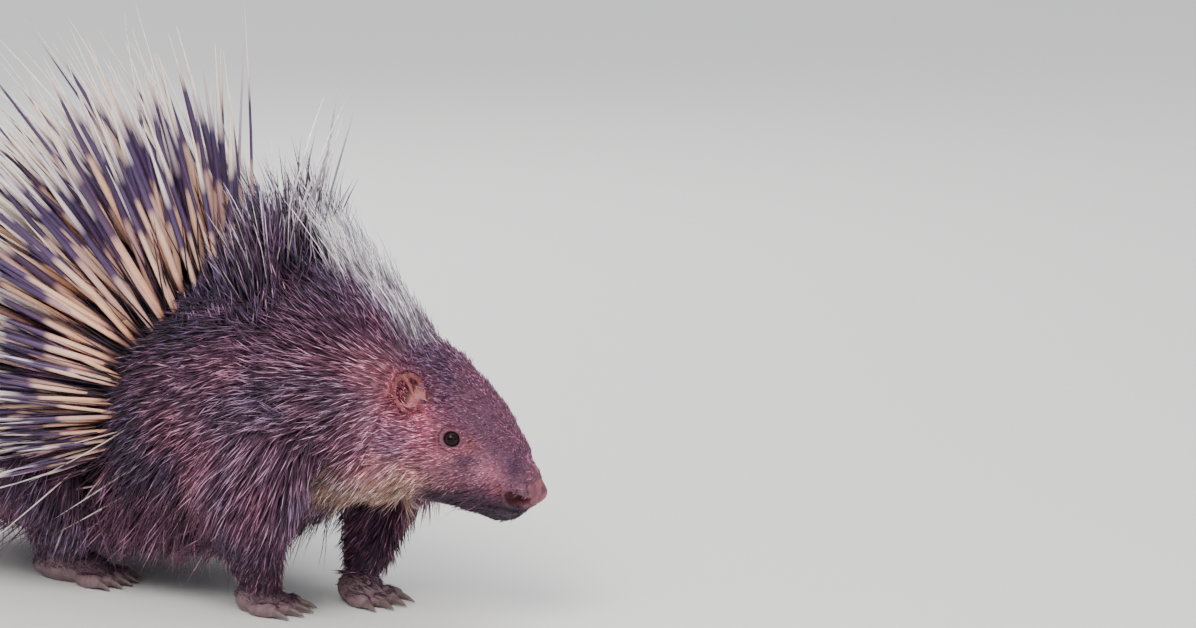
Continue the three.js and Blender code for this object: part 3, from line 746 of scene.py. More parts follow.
def roomBelow(roots, ways, long, clear):  # shorter where the tips would reach the floor
    down = np.maximum(-ways[:, 2], 1e-3)
    return np.minimum(long, np.maximum((roots["p"][:, 2] - clear) / down, 6.0))


boxRoom = 14  # how far the tips may stand out of the solids' box


def inBox(roots, ways, long, rng):  # shorter where the tips would stand out further
    low, high = ((np.array(corner) - shift) / mm for corner in cadBox)
    room = np.where(ways > 0, high + boxRoom - roots["p"], roots["p"] - low + boxRoom)
    reach = (room / np.maximum(np.abs(ways), 1e-3)).min(1)
    return np.minimum(long, reach * rng.uniform(0.86, 1.0, len(long)))


# One closed needle of unit length and radius along Z: a ring drawn out to a point
def strandForm(look):
    bm = bmesh.new()
    bmesh.ops.create_circle(bm, cap_ends=True, segments=look["sides"], radius=look["rings"][0][1])
    edges, wide = bm.edges[:], look["rings"][0][1]
    for t, nextWide in look["rings"][1:] + [(1, 0)]:
        grown = bmesh.ops.extrude_edge_only(bm, edges=edges)["geom"]
        verts = [one for one in grown if isinstance(one, bmesh.types.BMVert)]
        edges = [one for one in grown if isinstance(one, bmesh.types.BMEdge)]
        if nextWide:
            bmesh.ops.scale(bm, vec=(nextWide / wide, nextWide / wide, 1), verts=verts)
            bmesh.ops.translate(bm, vec=(0, 0, t - verts[0].co.z), verts=verts)
            wide = nextWide
        else:
            bmesh.ops.pointmerge(bm, verts=verts, merge_co=(0, 0, t))
    bmesh.ops.recalc_face_normals(bm, faces=bm.faces)
    points = np.array([v.co for v in bm.verts])
    faces = sortedFaces(bm)
    bm.free()
    return points, np.array(sum(faces, [])), [len(face) for face in faces]


lowest = 1.0  # no strand comes nearer to the floor
patchSize = 0.003  # of a strand's own patch in the map


# Strands in one mesh: the needle at every root, drawn out along its way and bent down towards the skin
def strands(name, roots, ways, long, radius, look, rng):
    count = len(ways)
    points, corners, faceSizes = strandForm(look)
    each = len(points)
    long = np.broadcast_to(long, count)[:, None, None]
    radius = np.broadcast_to(radius, count)[:, None, None]
    out = roots["n"]
    sagWay = -unit(out - (out * ways).sum(1, keepdims=True) * ways)
    across = np.cross(ways, sagWay)
    bend = sagWay * look["sag"] + across * rng.normal(0, look["curl"], count)[:, None]
    along = points[:, 2]
    t = along[None, :, None]
    start = (roots["p"] - ways * look["sunk"])[:, None, :]
    line = start + ways[:, None] * (t * (long + look["sunk"])) + bend[:, None] * (t ** 2 * long)
    tangent = unit(ways[:, None] + 2 * t * bend[:, None])
    a = unit(across[:, None] - (across[:, None] * tangent).sum(-1, keepdims=True) * tangent)
    b = np.cross(tangent, a)
    wide = np.hypot(points[:, 0], points[:, 1])[None, :, None]
    angle = np.arctan2(points[:, 1], points[:, 0])
    theta = angle[None, :, None] + rng.uniform(0, 2 * np.pi, count)[:, None, None]
    verts = (line + (a * np.cos(theta) + b * np.sin(theta)) * wide * radius).reshape(-1, 3)
    verts[:, 2] = np.maximum(verts[:, 2], lowest)
    sizes = np.tile(faceSizes, count).astype(np.int32)
    index = corners[None] + (np.arange(count) * each)[:, None]
    mesh = bpy.data.meshes.new(name)
    mesh.vertices.add(len(verts))
    mesh.vertices.foreach_set("co", toRow(verts).astype(np.float32).ravel())
    mesh.loops.add(len(corners) * count)
    mesh.loops.foreach_set("vertex_index", index.ravel().astype(np.int32))
    mesh.polygons.add(len(sizes))
    mesh.polygons.foreach_set("loop_start", np.concatenate([[0], sizes.cumsum()[:-1]]).astype(np.int32))
    mesh.update(calc_edges=True)
    column = np.where(wide[0, :, 0] > 0, (angle / (2 * np.pi)) % 1, 0.5)
    patch = np.stack([column - 0.5, along - 0.5], 1)[corners] * patchSize
    layer = mesh.uv_layers.new(name="OFBake")
    layer.data.foreach_set("uv", (roots["uv"][:, None] + patch[None]).astype(np.float32).ravel())
    setMark(mesh, "along", np.tile(along, count))
    setMark(mesh, "tone", np.repeat(rng.uniform(0, 1, count), each))
    setMark(mesh, "slide", np.repeat(rng.normal(0, 1, count).clip(-2, 2), each))
    for key, mark in coatMarks.items():
        setMark(mesh, key, np.repeat(roots.get(key, mark(roots["p"])), each))
    print(name, count, "strands", int((sizes - 2).sum()), "triangles")
    return linked(name, mesh)


fineHair = {"sides": 3, "rings": [(0, 1), (0.4, 0.92), (0.78, 0.55)], "sunk": 3.0, "sag": 0.1, "curl": 0.07}
shortHair = {"sides": 3, "rings": [(0, 1), (0.6, 0.7)], "sunk": 1.5, "sag": 0.14, "curl": 0.07}

# Quills of the back: they fan out from a place low between the shoulders
quills = {
    "pace": 7.6, "long": 152, "radius": 2.6, "seed": 7,
    "fanFoot": (60, 0, 130), "lowest": 98, "lift": 0.15, "sweep": 0.3, "stand": 0.34, "gather": 0.66,
    "look": {"sides": 6, "sunk": 7, "sag": 0.05, "curl": 0.026,
             "rings": [(0, 0.5), (0.05, 0.7), (0.16, 0.95), (0.34, 1.0), (0.52, 0.92),
                       (0.68, 0.66), (0.83, 0.36), (0.94, 0.15)]},
}


def quilled(p):
    return (p[:, 2] > quills["lowest"]) & (p[:, 0] < quillEdge(p[:, 2]))


def quillRoots(pace, seed):
    rng = np.random.default_rng(seed)
    roots = settled(*sow(trunk, pace, rng))
    return pick(roots, quilled(roots["p"])), rng


def laidDown(p):  # the foremost quills of the left side lie lower than those of the right
    return smooth(-8, 14, p[:, 1]) * smooth(-5, 30, p[:, 0])


def standing(p):  # while those of the right side stand upright
    return smooth(2, -16, p[:, 1]) * smooth(-25, 35, p[:, 0]) * smooth(150, 200, p[:, 2])


def quillWays(roots, rng, scatter):
    p, n = roots["p"], roots["n"]
    ways = unit(p - np.array(quills["fanFoot"])) + n * quills["lift"]
    front = smooth(-70, 50, p[:, 0])
    ways[:, 0] -= quills["sweep"] * front + quills["sweep"] * laidDown(p) - quills["stand"] * standing(p)
    ways[:, 1] *= 1 - quills["gather"] * front
    jitter = rng.normal(0, 0.26, (len(p), 3)).clip(-0.6, 0.6) * np.array([0.27, 0.26, 0.14]) * scatter
    return unit(ways + jitter)


def quillReach(p):
    low = 0.56 + 0.44 * smooth(100, 190, p[:, 2])
    short = (1 - 0.42 * smooth(20, 75, p[:, 0])) * (1 - 0.40 * smooth(80, 205, -p[:, 0]))
    return low * short * (1 - 0.4 * laidDown(p)) * (1 + 0.35 * standing(p))


def buildQuills():
    roots, rng = quillRoots(quills["pace"], quills["seed"])
    count = len(roots["p"])
    reach = quillReach(roots["p"])
    long = quills["long"] * (0.25 + 0.75 * reach) * (0.6 + 0.44 * rng.beta(2, 2, count))
    low = 0.5 + 0.5 * smooth(105, 185, roots["p"][:, 2])
    radius = quills["radius"] * low * rng.uniform(0.72, 1.08, count) * (0.75 + 0.25 * reach)
    ways = quillWays(roots, rng, 1.35)
    return strands("backQuills", roots, ways, inBox(roots, ways, long, rng), radius, quills["look"], rng)


# Long, thin, pale quills that stand out of the rest, and a few down the flanks
longThin = {"pace": 22, "long": 212, "radius": 1.5, "pale": 0.4, "seed": 15,
            "flankPace": 19, "flankLong": 112, "flankRadius": 0.62, "flankLift": 0.34,
            "look": quills["look"] | {"curl": 0.05, "sag": 0.07}}


def buildLongThin():
    back, rng = quillRoots(longThin["pace"], longThin["seed"])
    side = settled(*sow(trunk, longThin["flankPace"], rng))
    p = side["p"]
    side = pick(side, ~quilled(p) & (p[:, 0] < 20) & (p[:, 2] > 62) & (p[:, 2] < 140))
    count = len(side["p"])
    lie = np.stack([np.full(count, -1.0), np.zeros(count), rng.uniform(-0.75, -0.1, count)], 1)
    backWays = quillWays(back, rng, 1.5)
    ways = np.concatenate([backWays, stray(laid(side, lie, longThin["flankLift"]), rng, 0.07)])
    both = together(back, side)
    onBack = np.arange(len(ways)) < len(back["p"])
    reach = np.maximum(quillReach(both["p"]), 0.62)
    long = np.where(onBack, longThin["long"] * reach, longThin["flankLong"])
    long = long * rng.uniform(0.72, 1.0, len(ways))
    long = inBox(both, ways, roomBelow(both, ways, long, 30), rng)
    radius = np.where(onBack, longThin["radius"] * (0.5 + 0.5 * reach), longThin["flankRadius"])
    pale = (rng.uniform(0, 1, len(ways)) < longThin["pale"]) * 0.7
    both["white"] = np.where(onBack, pale, rng.uniform(0.5, 0.9, len(ways)))
    radius = radius * rng.uniform(0.7, 1.1, len(ways))
    return strands("longThinQuills", both, ways, long, radius, longThin["look"], rng)


under = {"pace": 4.6, "long": 66, "radius": 0.7, "seed": 11}


def buildUnder():
    roots, rng = quillRoots(under["pace"], under["seed"])
    count = len(roots["p"])
    long = under["long"] * (0.55 + 0.9 * rng.beta(1.3, 2.2, count))
    radius = under["radius"] * rng.uniform(0.75, 1.2, count)
    roots["grizzle"] = np.zeros(count)
    return strands("underBristles", roots, quillWays(roots, rng, 1.5), long, radius, fineHair, rng)


# Bristles of the flanks, neck, withers, throat and legs. A clump is the number of strands to a leader
# and how far they bend to it, and scatter how far the ways stray.
def halved(name, roots, ways, long, radius, rng):  # the right and left halves as two pieces
    right = roots["p"][:, 1] < 0
    roots = roots | {"pale": paleAt(roots["p"]) * smooth(118, 138, roots["p"][:, 0])}
    return [strands(name + end, pick(roots, mask), ways[mask], long[mask], radius[mask], fineHair, rng)
            for end, mask in (("Right", right), ("Left", ~right))]


flank = {"pace": 2.05, "long": 31, "radius": 0.44, "hang": 78, "clear": 9, "seed": 8,
         "lift": 0.3, "scatter": 0.22, "clump": (8, 0.35)}


def buildFlank():
    rng = np.random.default_rng(flank["seed"])
    roots = settled(*sow(trunk, flank["pace"], rng))
    roots = pick(roots, ~quilled(roots["p"]))
    p = roots["p"]
    low = smooth(155, 75, p[:, 2])
    lie = np.stack([-0.88 + 0.36 * low, 0 * low, -0.38 - 0.6 * low], 1)
    lift = flank["lift"] + 0.1 * low + rng.normal(0, 0.1, len(p))
    ways = stray(laid(roots, lie, lift), rng, flank["scatter"])
    edge = smooth(45, 5, p[:, 0] - quillEdge(p[:, 2])) * smooth(80, 115, p[:, 2])
    hang = smooth(130, 62, p[:, 2]) * smooth(110, 40, p[:, 0])
    long = flank["long"] * (0.8 + 0.6 * smooth(60, -80, p[:, 0])) * (1 - 0.3 * edge) + flank["hang"] * hang
    long = long * rng.uniform(0.6, 1.2, len(p))
    ways = clumped(roots, ways, long, rng, *flank["clump"])
    long = roomBelow(roots, ways, long, flank["clear"] + rng.uniform(0, 18, len(p)))
    radius = flank["radius"] * (1 + 0.25 * hang) * rng.uniform(0.7, 1.25, len(p))
    return halved("flankBristles", roots, ways, long, radius, rng)


def napeRoots(pace, headPace, span, rng):  # on the neck and on the back of the head
    headPoints, headUv = sow(head, headPace, rng, span=span)
    return together(settled(*sow(neck, pace, rng)), settled(fromHead(headPoints), headUv * 0.3))


neckCoat = {"pace": 2.05, "headShare": 0.85, "span": (0.1, 0.52), "long": 24, "radius": 0.41, "seed": 5,
            "lift": 0.28, "scatter": 0.2, "clump": (8, 0.35), "white": 0.8}


def buildNeck():
    rng = np.random.default_rng(neckCoat["seed"])
    roots = napeRoots(neckCoat["pace"], neckCoat["pace"] * neckCoat["headShare"], neckCoat["span"], rng)
    roots = pick(roots, (toHead(roots["p"])[:, 0] < -70) & (earAway(toHead(roots["p"])) > 15))
    p, rise = roots["p"], roots["n"][:, 2]
    count = len(p)
    down = np.where(rise > 0, -0.25 + 1.2 * rise, -0.25 + 0.7 * rise)
    lie = np.stack([np.full(count, -0.9), np.zeros(count), down], 1)
    lift = neckCoat["lift"] + rng.normal(0, 0.1, count)
    ways = stray(laid(roots, lie, lift), rng, neckCoat["scatter"])
    back = smooth(-70, -128, toHead(p)[:, 0])
    full = 0.3 + 0.75 * back + 0.2 * smooth(180, 90, p[:, 0])
    long = neckCoat["long"] * full * rng.uniform(0.6, 1.2, count)
    ways = clumped(roots, ways, long, rng, *neckCoat["clump"])
    radius = neckCoat["radius"] * (0.7 + 0.3 * back) * rng.uniform(0.75, 1.2, count)
    roots["white"] = (rng.uniform(0, 1, count) < neckCoat["white"] * whiteAt(p)).astype(float)
    return halved("neckBristles", roots, ways, long, radius, rng)


# Taller tufts between the quills and the crest, dark with pale ends, and a few proud bristles
withers = {"pace": 2.8, "long": 90, "radius": 0.85, "seed": 21, "clump": (16, 0.45), "pale": 0.3,
           "proud": 138, "proudShare": 0.03, "proudAt": 80, "proudWay": (0.29, 0.0, 0.95)}


def buildWithers():
    rng = np.random.default_rng(withers["seed"])
    roots = together(settled(*sow(neck, withers["pace"], rng)), settled(*sow(trunk, withers["pace"], rng)))
    p, n = roots["p"], roots["n"]
    roots = pick(roots, (n[:, 2] > 0.55) & ~quilled(p) & (p[:, 0] > 15) & (p[:, 0] < 112))
    p, n = roots["p"], roots["n"]
    count = len(p)
    lean = -0.24 + 0.0035 * (p[:, 0] - 60)
    ways = stray(unit(np.stack([lean, 0.35 * n[:, 1], np.ones(count)], 1)), rng, 0.2)
    high = ridge(p[:, 0], 84, 19)
    level = 0.3 + 0.7 * smooth(0.6, 0.93, n[:, 2])
    long = withers["long"] * (0.36 + 0.6 * high) * level * (0.55 + 0.6 * rng.beta(1.6, 2.2, count))
    proud = rng.uniform(0, 1, count) < withers["proudShare"]
    proud &= (np.abs(p[:, 0] - withers["proudAt"]) < 9) & (n[:, 2] > 0.95)
    long = np.where(proud, withers["proud"] * rng.uniform(0.75, 1.03, count), long)
    ways = clumped(roots, ways, long, rng, *withers["clump"])
    ways = np.where(proud[:, None], stray(np.tile(withers["proudWay"], (count, 1)), rng, 0.05), ways)
    pale = (rng.uniform(0, 1, count) < withers["pale"]) | proud
    roots |= {"grizzle": np.ones(count), "rosy": np.zeros(count), "darkAndPaintedShade": np.where(pale, 0.0, 1.0),
              "white": np.where(proud, 1.0, np.where(pale, 0.75 * smooth(25, 60, long), 0.08)),
              "mauveAndShade": np.where(proud, 0.0, np.where(pale, 0.35, 0.8))}
    long = inBox(roots, ways, long, rng)
    radius = withers["radius"] * np.where(proud, 1.5, rng.uniform(0.65, 1.1, count))
    return strands("withersTufts", roots, ways, long, radius, fineHair, rng)


# Fine whitish hair along the middle of the nape, up to one uneven outline: heights at places along it
crest = {"pace": 1.05, "span": (0.05, 0.4), "radius": 0.42, "seed": 3, "clump": (9, 0.35), "lean": 63,
         "wide": 12.5, "along": [78, 98, 127, 160, 170, 196], "height": [304, 290, 263, 236, 221, 196]}


def crestTop(x):
    uneven = 2.5 * np.sin(x / 4.3) + 2.0 * np.sin(x / 2.1 + 1)
    return np.interp(x, crest["along"], crest["height"]) + uneven


def buildCrest():
    rng = np.random.default_rng(crest["seed"])
    roots = napeRoots(crest["pace"], crest["pace"], crest["span"], rng)
    p, n = roots["p"], roots["n"]
    width = crest["wide"] - 5 * smooth(115, 165, p[:, 0])
    kept = rng.uniform(0, 1, len(p)) < ridge(napeAway(p), 0, width) * smooth(202, 160, p[:, 0])
    roots = pick(roots, kept & (n[:, 2] > 0.4) & (p[:, 0] > 90))
    p, n = roots["p"], roots["n"]
    lean = np.radians(crest["lean"] + rng.normal(0, 7, len(p)))
    ways = unit(np.stack([-np.cos(lean), 0.3 * n[:, 1] + rng.normal(0, 0.08, len(p)), np.sin(lean)], 1))
    long = np.full(len(p), 10.0)
    for _ in range(12):  # each grows or shrinks until its tip meets the outline
        tip = p + ways * long[:, None]
        long = np.clip(long + (crestTop(tip[:, 0]) - tip[:, 2]) * 0.8, 6, 105)
    kept = (p + ways * long[:, None])[:, 0] > 88 + rng.normal(0, 6, len(p))
    roots, ways, long = pick(roots, kept), ways[kept], long[kept]
    p = roots["p"]
    long = long * (0.42 + 0.66 * rng.beta(2.2, 1.8, len(p)))
    dull = rng.uniform(0, 1, len(p)) < 0.1 + 0.35 * smooth(110, 185, p[:, 0])
    roots |= {"grizzle": np.ones(len(p)), "rosy": np.zeros(len(p)), "mauveAndShade": np.zeros(len(p)),
              "white": np.where(dull, 0.45, 1.0), "darkAndPaintedShade": np.where(dull, 0.8, 0.0)}
    ways = clumped(roots, ways, long, rng, *crest["clump"])
    radius = crest["radius"] * (0.75 + 0.25 * smooth(10, 60, long))
    return strands("crest", roots, ways, long, radius, fineHair, rng)


throat = {"pace": 2.0, "span": (0.1, 0.5), "long": 27, "radius": 0.48, "seed": 4,
          "lie": (-0.75, 0, -0.6), "lift": 0.35, "scatter": 0.12, "clump": (12, 0.3)}


def buildThroat():
    rng = np.random.default_rng(throat["seed"])
    roots = napeRoots(throat["pace"], throat["pace"], throat["span"], rng)
    roots = pick(roots, (roots["n"][:, 2] < -0.05) & (paleAt(roots["p"]) > 0.25))
    count = len(roots["p"])
    lie = np.tile(throat["lie"], (count, 1))
    ways = stray(laid(roots, lie, throat["lift"]), rng, throat["scatter"])
    back = smooth(-55, -115, toHead(roots["p"])[:, 0])
    long = throat["long"] * (0.35 + 0.75 * back) * rng.uniform(0.7, 1.2, count)
    ways = clumped(roots, ways, long, rng, *throat["clump"])
    return strands("throatRuff", roots, ways, long, throat["radius"], fineHair, rng)


def fourRoots(forms, pace, rng):  # on four legs or feet, each with a quarter of the map
    sets = []
    for k, form in enumerate(forms):
        points, uv = sow(form, pace, rng)
        sets.append(settled(points, uv * 0.48 + np.array([(k % 2) * 0.5, (k // 2) * 0.5])))
    return together(*sets)


legFur = {"pace": 2.75, "long": 29, "radius": 0.5, "seed": 12, "lowest": 20, "clear": 8,
          "lie": (-0.55, 0, -1.0), "lift": 0.3, "scatter": 0.14, "clump": (12, 0.3)}


def buildLegs():
    rng = np.random.default_rng(legFur["seed"])
    roots = fourRoots(legs.values(), legFur["pace"], rng)
    roots = pick(roots, roots["p"][:, 2] > legFur["lowest"])
    count = len(roots["p"])
    lie = np.tile(legFur["lie"], (count, 1))
    ways = stray(laid(roots, lie, legFur["lift"]), rng, legFur["scatter"])
    long = legFur["long"] * (0.4 + 0.95 * smooth(25, 110, roots["p"][:, 2])) * rng.uniform(0.7, 1.25, count)
    ways = clumped(roots, ways, long, rng, *legFur["clump"])
    long = roomBelow(roots, ways, long, legFur["clear"])
    roots["pale"] = np.zeros(count)
    return strands("legFur", roots, ways, long, legFur["radius"], fineHair, rng)


footFur = {"pace": 1.9, "long": 6.0, "radius": 0.3, "seed": 14, "lie": (1.0, 0, -0.3), "lift": 0.3,
           "scatter": 0.2}


def footForm(leg):  # a low form over a foot, from heel to toes
    heel, toes = np.array([*leg["heel"], 9.0]), np.array([*leg["toes"], 6.0])
    return {"centre": [heel, (heel + toes) / 2, toes], "wide": [14, leg["half"], leg["half"]],
            "high": [20, 14, 6], "low": [8, 8, 5], "blunt": 0.5}


def buildFeet():
    rng = np.random.default_rng(footFur["seed"])
    roots = fourRoots([footForm(leg) for leg in legs.values()], footFur["pace"], rng)
    roots = pick(roots, (roots["n"][:, 2] > 0.1) & (roots["p"][:, 2] > 7))
    count = len(roots["p"])
    lie = np.tile(footFur["lie"], (count, 1))
    ways = stray(laid(roots, lie, footFur["lift"]), rng, footFur["scatter"])
    long = footFur["long"] * rng.uniform(0.6, 1.2, count) * (0.7 + 0.9 * smooth(10, 26, roots["p"][:, 2]))
    return strands("footFur", roots, ways, long, footFur["radius"], shortHair, rng)


faceFur = {"pace": 1.36, "long": 7.2, "radius": 0.34, "seed": 13, "lift": 0.3, "scatter": 0.2,
           "clump": (10, 0.5)}


def bareFace(p, rng):  # nose, lids, ears and hollows, with a ragged edge round the nose
    h = toHead(p)
    bare = (noseAt(p) > rng.uniform(0.1, 0.9, len(h))) | (lidAt(p) > 0.02) | (h[:, 0] < -108)
    return bare | (earAway(h) < 11) | (hollowShadeAt(p) > 0.2)


def buildFace():
    rng = np.random.default_rng(faceFur["seed"])
    points, uv = sow(head, faceFur["pace"], rng)
    roots = settled(fromHead(points), uv)
    roots = pick(roots, ~bareFace(roots["p"], rng))
    h = toHead(roots["p"])
    count = len(h)
    down = -0.12 - 0.25 * smooth(20, -20, h[:, 2])
    lie = np.stack([-np.ones(count), np.zeros(count), down], 1) @ headTurn.T
    ways = stray(laid(roots, lie, faceFur["lift"] + rng.normal(0, 0.1, count)), rng, faceFur["scatter"])
    back = smooth(-24, -100, h[:, 0])
    long = faceFur["long"] * (0.45 + 1.2 * back) * rng.uniform(0.6, 1.25, count)
    long = long * (1 - 0.6 * noseAt(roots["p"]))
    ways = clumped(roots, ways, long, rng, *faceFur["clump"])
    return strands("faceFur", roots, ways, long, faceFur["radius"] * (0.75 + 0.6 * back), shortHair, rng)


# Short hair in the hollow, along the edge and on the back of each ear. For every part: how far it
# leans out of the opening and up the ear, and its own lean in the head's frame.
earFur = {"count": 900, "long": 6.0, "radius": 0.22, "seed": 17, "outward": 0.45,
          "hollow": (0.9, 0.25, (-0.45, 0, 0.1)), "edge": (0.6, 0.0, (-0.2, 0, 0.1)),
          "back": (-0.35, 0.0, (-0.5, 0, 0.1)), "look": shortHair | {"sunk": 0.4}}


def earSpot(k, rng):  # part of the ear, share of the way out to its edge, depth and outward lean
    if k % 4 == 0:
        r = rng.uniform(0.1, 0.7)
        return "hollow", r, ear["front"] * (1 - r * r) ** 0.8, 0.0
    if k % 4 == 1:
        return "edge", rng.uniform(0.88, 1.0), 0.0, 0.8
    r = 1 - 0.6 * rng.beta(1, 2.6)
    return "back", r, ear["back"] * (1 - r * r) ** 0.55, r


def buildEarFur():
    rng = np.random.default_rng(earFur["seed"])
    points, uv, ways = [], [], []
    for side in sides.values():
        opening, up, fore = earFrame(side)
        for k in range(earFur["count"]):
            turn = rng.uniform(0, 2 * np.pi)
            radial = fore * math.cos(turn) * ear["wide"] + up * math.sin(turn) * ear["tall"]
            part, r, depth, lean = earSpot(k, rng)
            leanOut, leanUp, own = earFur[part]
            points.append(mirrored(ear["centre"], side) + radial * r - opening * depth)
            ways.append(opening * leanOut + up * leanUp + unit(radial) * lean + np.array(own))
            uv.append((0.36 + 0.01 * math.cos(turn), 0.5 + 0.2 * side + 0.01 * math.sin(turn)))
    roots = settled(fromHead(points), np.array(uv), reach=30)
    ways = stray(unit(np.array(ways) @ headTurn.T), rng, 0.25)
    outward = (ways * roots["n"]).sum(1)
    missing = np.maximum(earFur["outward"] - outward, 0)
    ways = unit(ways + roots["n"] * missing[:, None])  # none grows into the thin edge
    long = earFur["long"] * rng.uniform(0.5, 1.3, len(ways))
    roots["blush"] = rng.uniform(0, 0.8, len(ways))
    return strands("earFringe", roots, ways, long, earFur["radius"], earFur["look"], rng)


# Rows and columns of whiskers beside the nose: place of the first and the steps to the next ones
whiskers = {"seed": 16, "count": 13, "inRow": 5, "first": (-20, 26, 5), "steps": (5.5, 4.2), "long": 52,
            "radius": 0.26,
            "look": {"sides": 4, "rings": [(0, 1), (0.25, 0.85), (0.5, 0.6), (0.75, 0.35)],
                     "sunk": 1.5, "sag": 0.3, "curl": 0.08}}


def buildWhiskers():
    rng = np.random.default_rng(whiskers["seed"])
    (x, y, z), (back, down) = whiskers["first"], whiskers["steps"]
    sets, ways = [], []
    for side in sides.values():
        for k in range(whiskers["count"]):
            row, column = divmod(k, whiskers["inRow"])
            place = np.array([x - back * column + rng.uniform(-1.5, 1.5), y * side, z - down * row])
            sets.append(settled(fromHead([place]), np.array([[0.8, 0.3 + 0.02 * k]]), reach=16))
            ways.append(np.array([-0.55 + rng.uniform(-0.2, 0.2), side, -0.25 + rng.uniform(-0.3, 0.2)]))
    roots = together(*sets)
    count = len(roots["p"])
    long = whiskers["long"] * rng.uniform(0.5, 1.1, count)
    roots |= {"grizzle": np.zeros(count), "rosy": np.zeros(count)}
    ways = unit(np.array(ways) @ headTurn.T)
    return strands("whiskers", roots, ways, long, whiskers["radius"], whiskers["look"], rng)


# Hollow quills of the tail, thin at the foot and thick towards the end
rattle = {"pace": 7.0, "long": 52, "radius": 2.4, "seed": 6, "foremost": -246, "lean": (-1.6, 0, -0.5),
          "look": {"sides": 8, "sunk": 5, "sag": 0.0, "curl": 0.02,
                   "rings": [(0, 0.4), (0.3, 0.4), (0.42, 0.95), (0.7, 1.0), (0.9, 0.85), (0.97, 0.5)]}}


def buildTail():
    rng = np.random.default_rng(rattle["seed"])
    roots = settled(*sow(tail, rattle["pace"], rng))
    roots = pick(roots, roots["p"][:, 0] < rattle["foremost"])
    ways = unit(roots["n"] + np.array(rattle["lean"]))
    long = rattle["long"] * rng.uniform(0.75, 1.1, len(ways))
    return strands("rattleQuills", roots, ways, long, rattle["radius"], rattle["look"], rng)


coat = {
    "quills": [buildQuills(), buildLongThin()],
    "hair": [buildUnder(), *buildFlank(), *buildNeck(), buildWithers(), buildCrest(), buildLegs(),
             buildThroat(), buildFeet()],
    "face": [buildFace(), buildEarFur(), buildWhiskers()],
    "rattle": [buildTail()],
}
print("coat", sum(len(one.data.polygons) for group in coat.values() for one in group), "faces")


# Eyes: balls with a clear bulge in front
def buildEye(name, side):
    axis = unit(mirrored(eye["normal"], side))
    centre = mirrored(eye["centre"], side) - axis * eye["sunk"]
    bm = ball(centre, (eye["radius"],) * 3, 64, 48)
    for v in bm.verts:
        out = (v.co - Vector(centre)).normalized().dot(Vector(axis))
        v.co += Vector(axis) * eye["bulge"] * max(out - eye["clear"], 0) / (1 - eye["clear"])
    made = linked(name, meshOf(name, bm))
    coords = valuesOf(made.data, "co")
    setMark(made.data, "front", unit(coords - centre) @ axis)
    setCoords(made.data, toRow(fromHead(coords)))
    return made


# Claws: cones bent down, with their roots sunk in the toes
clawShape = {"radius": 2.9, "droop": 3.0, "root": 3.0, "sides": 20, "steps": 14, "blunt": 0.62, "deep": 1.1,
             "past": 2.3, "lowest": 0.3}


def clawForm(long):
    bm = bmesh.new()
    bmesh.ops.create_cone(bm, cap_ends=True, segments=clawShape["sides"], radius1=1, radius2=0.02, depth=1)
    side = [e for e in bm.edges if abs(e.verts[0].co.z - e.verts[1].co.z) > 0.5]
    bmesh.ops.subdivide_edges(bm, edges=side, cuts=clawShape["steps"])
    for v in bm.verts:
        share = v.co.z + 0.5
        radius = clawShape["radius"] * max(1 - share, 0.03) ** clawShape["blunt"]
        full = math.hypot(v.co.x, v.co.y)
        scale = radius / full if full > 1e-5 else 0
        down = clawShape["droop"] * share ** 2
        v.co = Vector((v.co.x * scale, v.co.y * scale * clawShape["deep"] - down, share * long))
    return bm


def buildClaws(name, leg):
    parts = []
    upright = Vector((0, 0, 1))
    for root, way in toeWays(leg):
        bm = clawForm(leg["claw"] + clawShape["root"])
        basis = Matrix((upright.cross(way) * -1, upright, way)).transposed().to_4x4()
        start = root + way * (toe["length"] + clawShape["past"] - clawShape["root"])
        bmesh.ops.transform(bm, matrix=Matrix.Translation(start) @ basis, verts=bm.verts)
        parts.append(bm)
    made = linked(name, meshOf(name, merged(parts)))
    coords = valuesOf(made.data, "co")
    coords[:, 2] = np.maximum(coords[:, 2], clawShape["lowest"])
    setCoords(made.data, toRow(coords))
    return made


eyes = {name: buildEye("eyeBall_" + name, side) for name, side in sides.items()}
claws = {name: buildClaws(name.replace("leg", "claws"), leg) for name, leg in legs.items()}
print("eyes and claws")


# Shader helpers, all of which add to a node tree, and two groups: the colour of a strand along its
# length, and the mottling of skin and horn
def newGroup(name, sockets):
    group = bpy.data.node_groups.new(name, "ShaderNodeTree")
    for socketName, way, kind, value in sockets:
        socket = group.interface.new_socket(socketName, in_out=way, socket_type=kind)
        if value is not None:
            socket.default_value = value
    enter = group.nodes.new("NodeGroupInput")
    leave = group.nodes.new("NodeGroupOutput")
    return group, enter.outputs, leave.inputs


def put(tree, socket, value):
    if isinstance(value, (int, float)):
        socket.default_value = value
    elif isinstance(value, tuple):
        socket.default_value = (*value, 1)
    elif value is not None:
        tree.links.new(value, socket)


def mathNode(tree, kind, first, second=None, third=None):
    made = tree.nodes.new("ShaderNodeMath")
    made.operation = kind
    for socket, value in zip(made.inputs, (first, second, third)):
        put(tree, socket, value)
    return made.outputs[0]


def mixNode(tree, share, first, second, blend="MIX"):
    made = tree.nodes.new("ShaderNodeMix")
    made.data_type = "RGBA"
    made.blend_type = blend
    for socket, value in ((made.inputs[0], share), (made.inputs[6], first), (made.inputs[7], second)):
        put(tree, socket, value)
    return made.outputs[2]


def scaleNode(tree, colour, share):
    made = tree.nodes.new("ShaderNodeVectorMath")
    made.operation = "SCALE"
    put(tree, made.inputs[0], colour)
    put(tree, made.inputs["Scale"], share)
    return made.outputs[0]


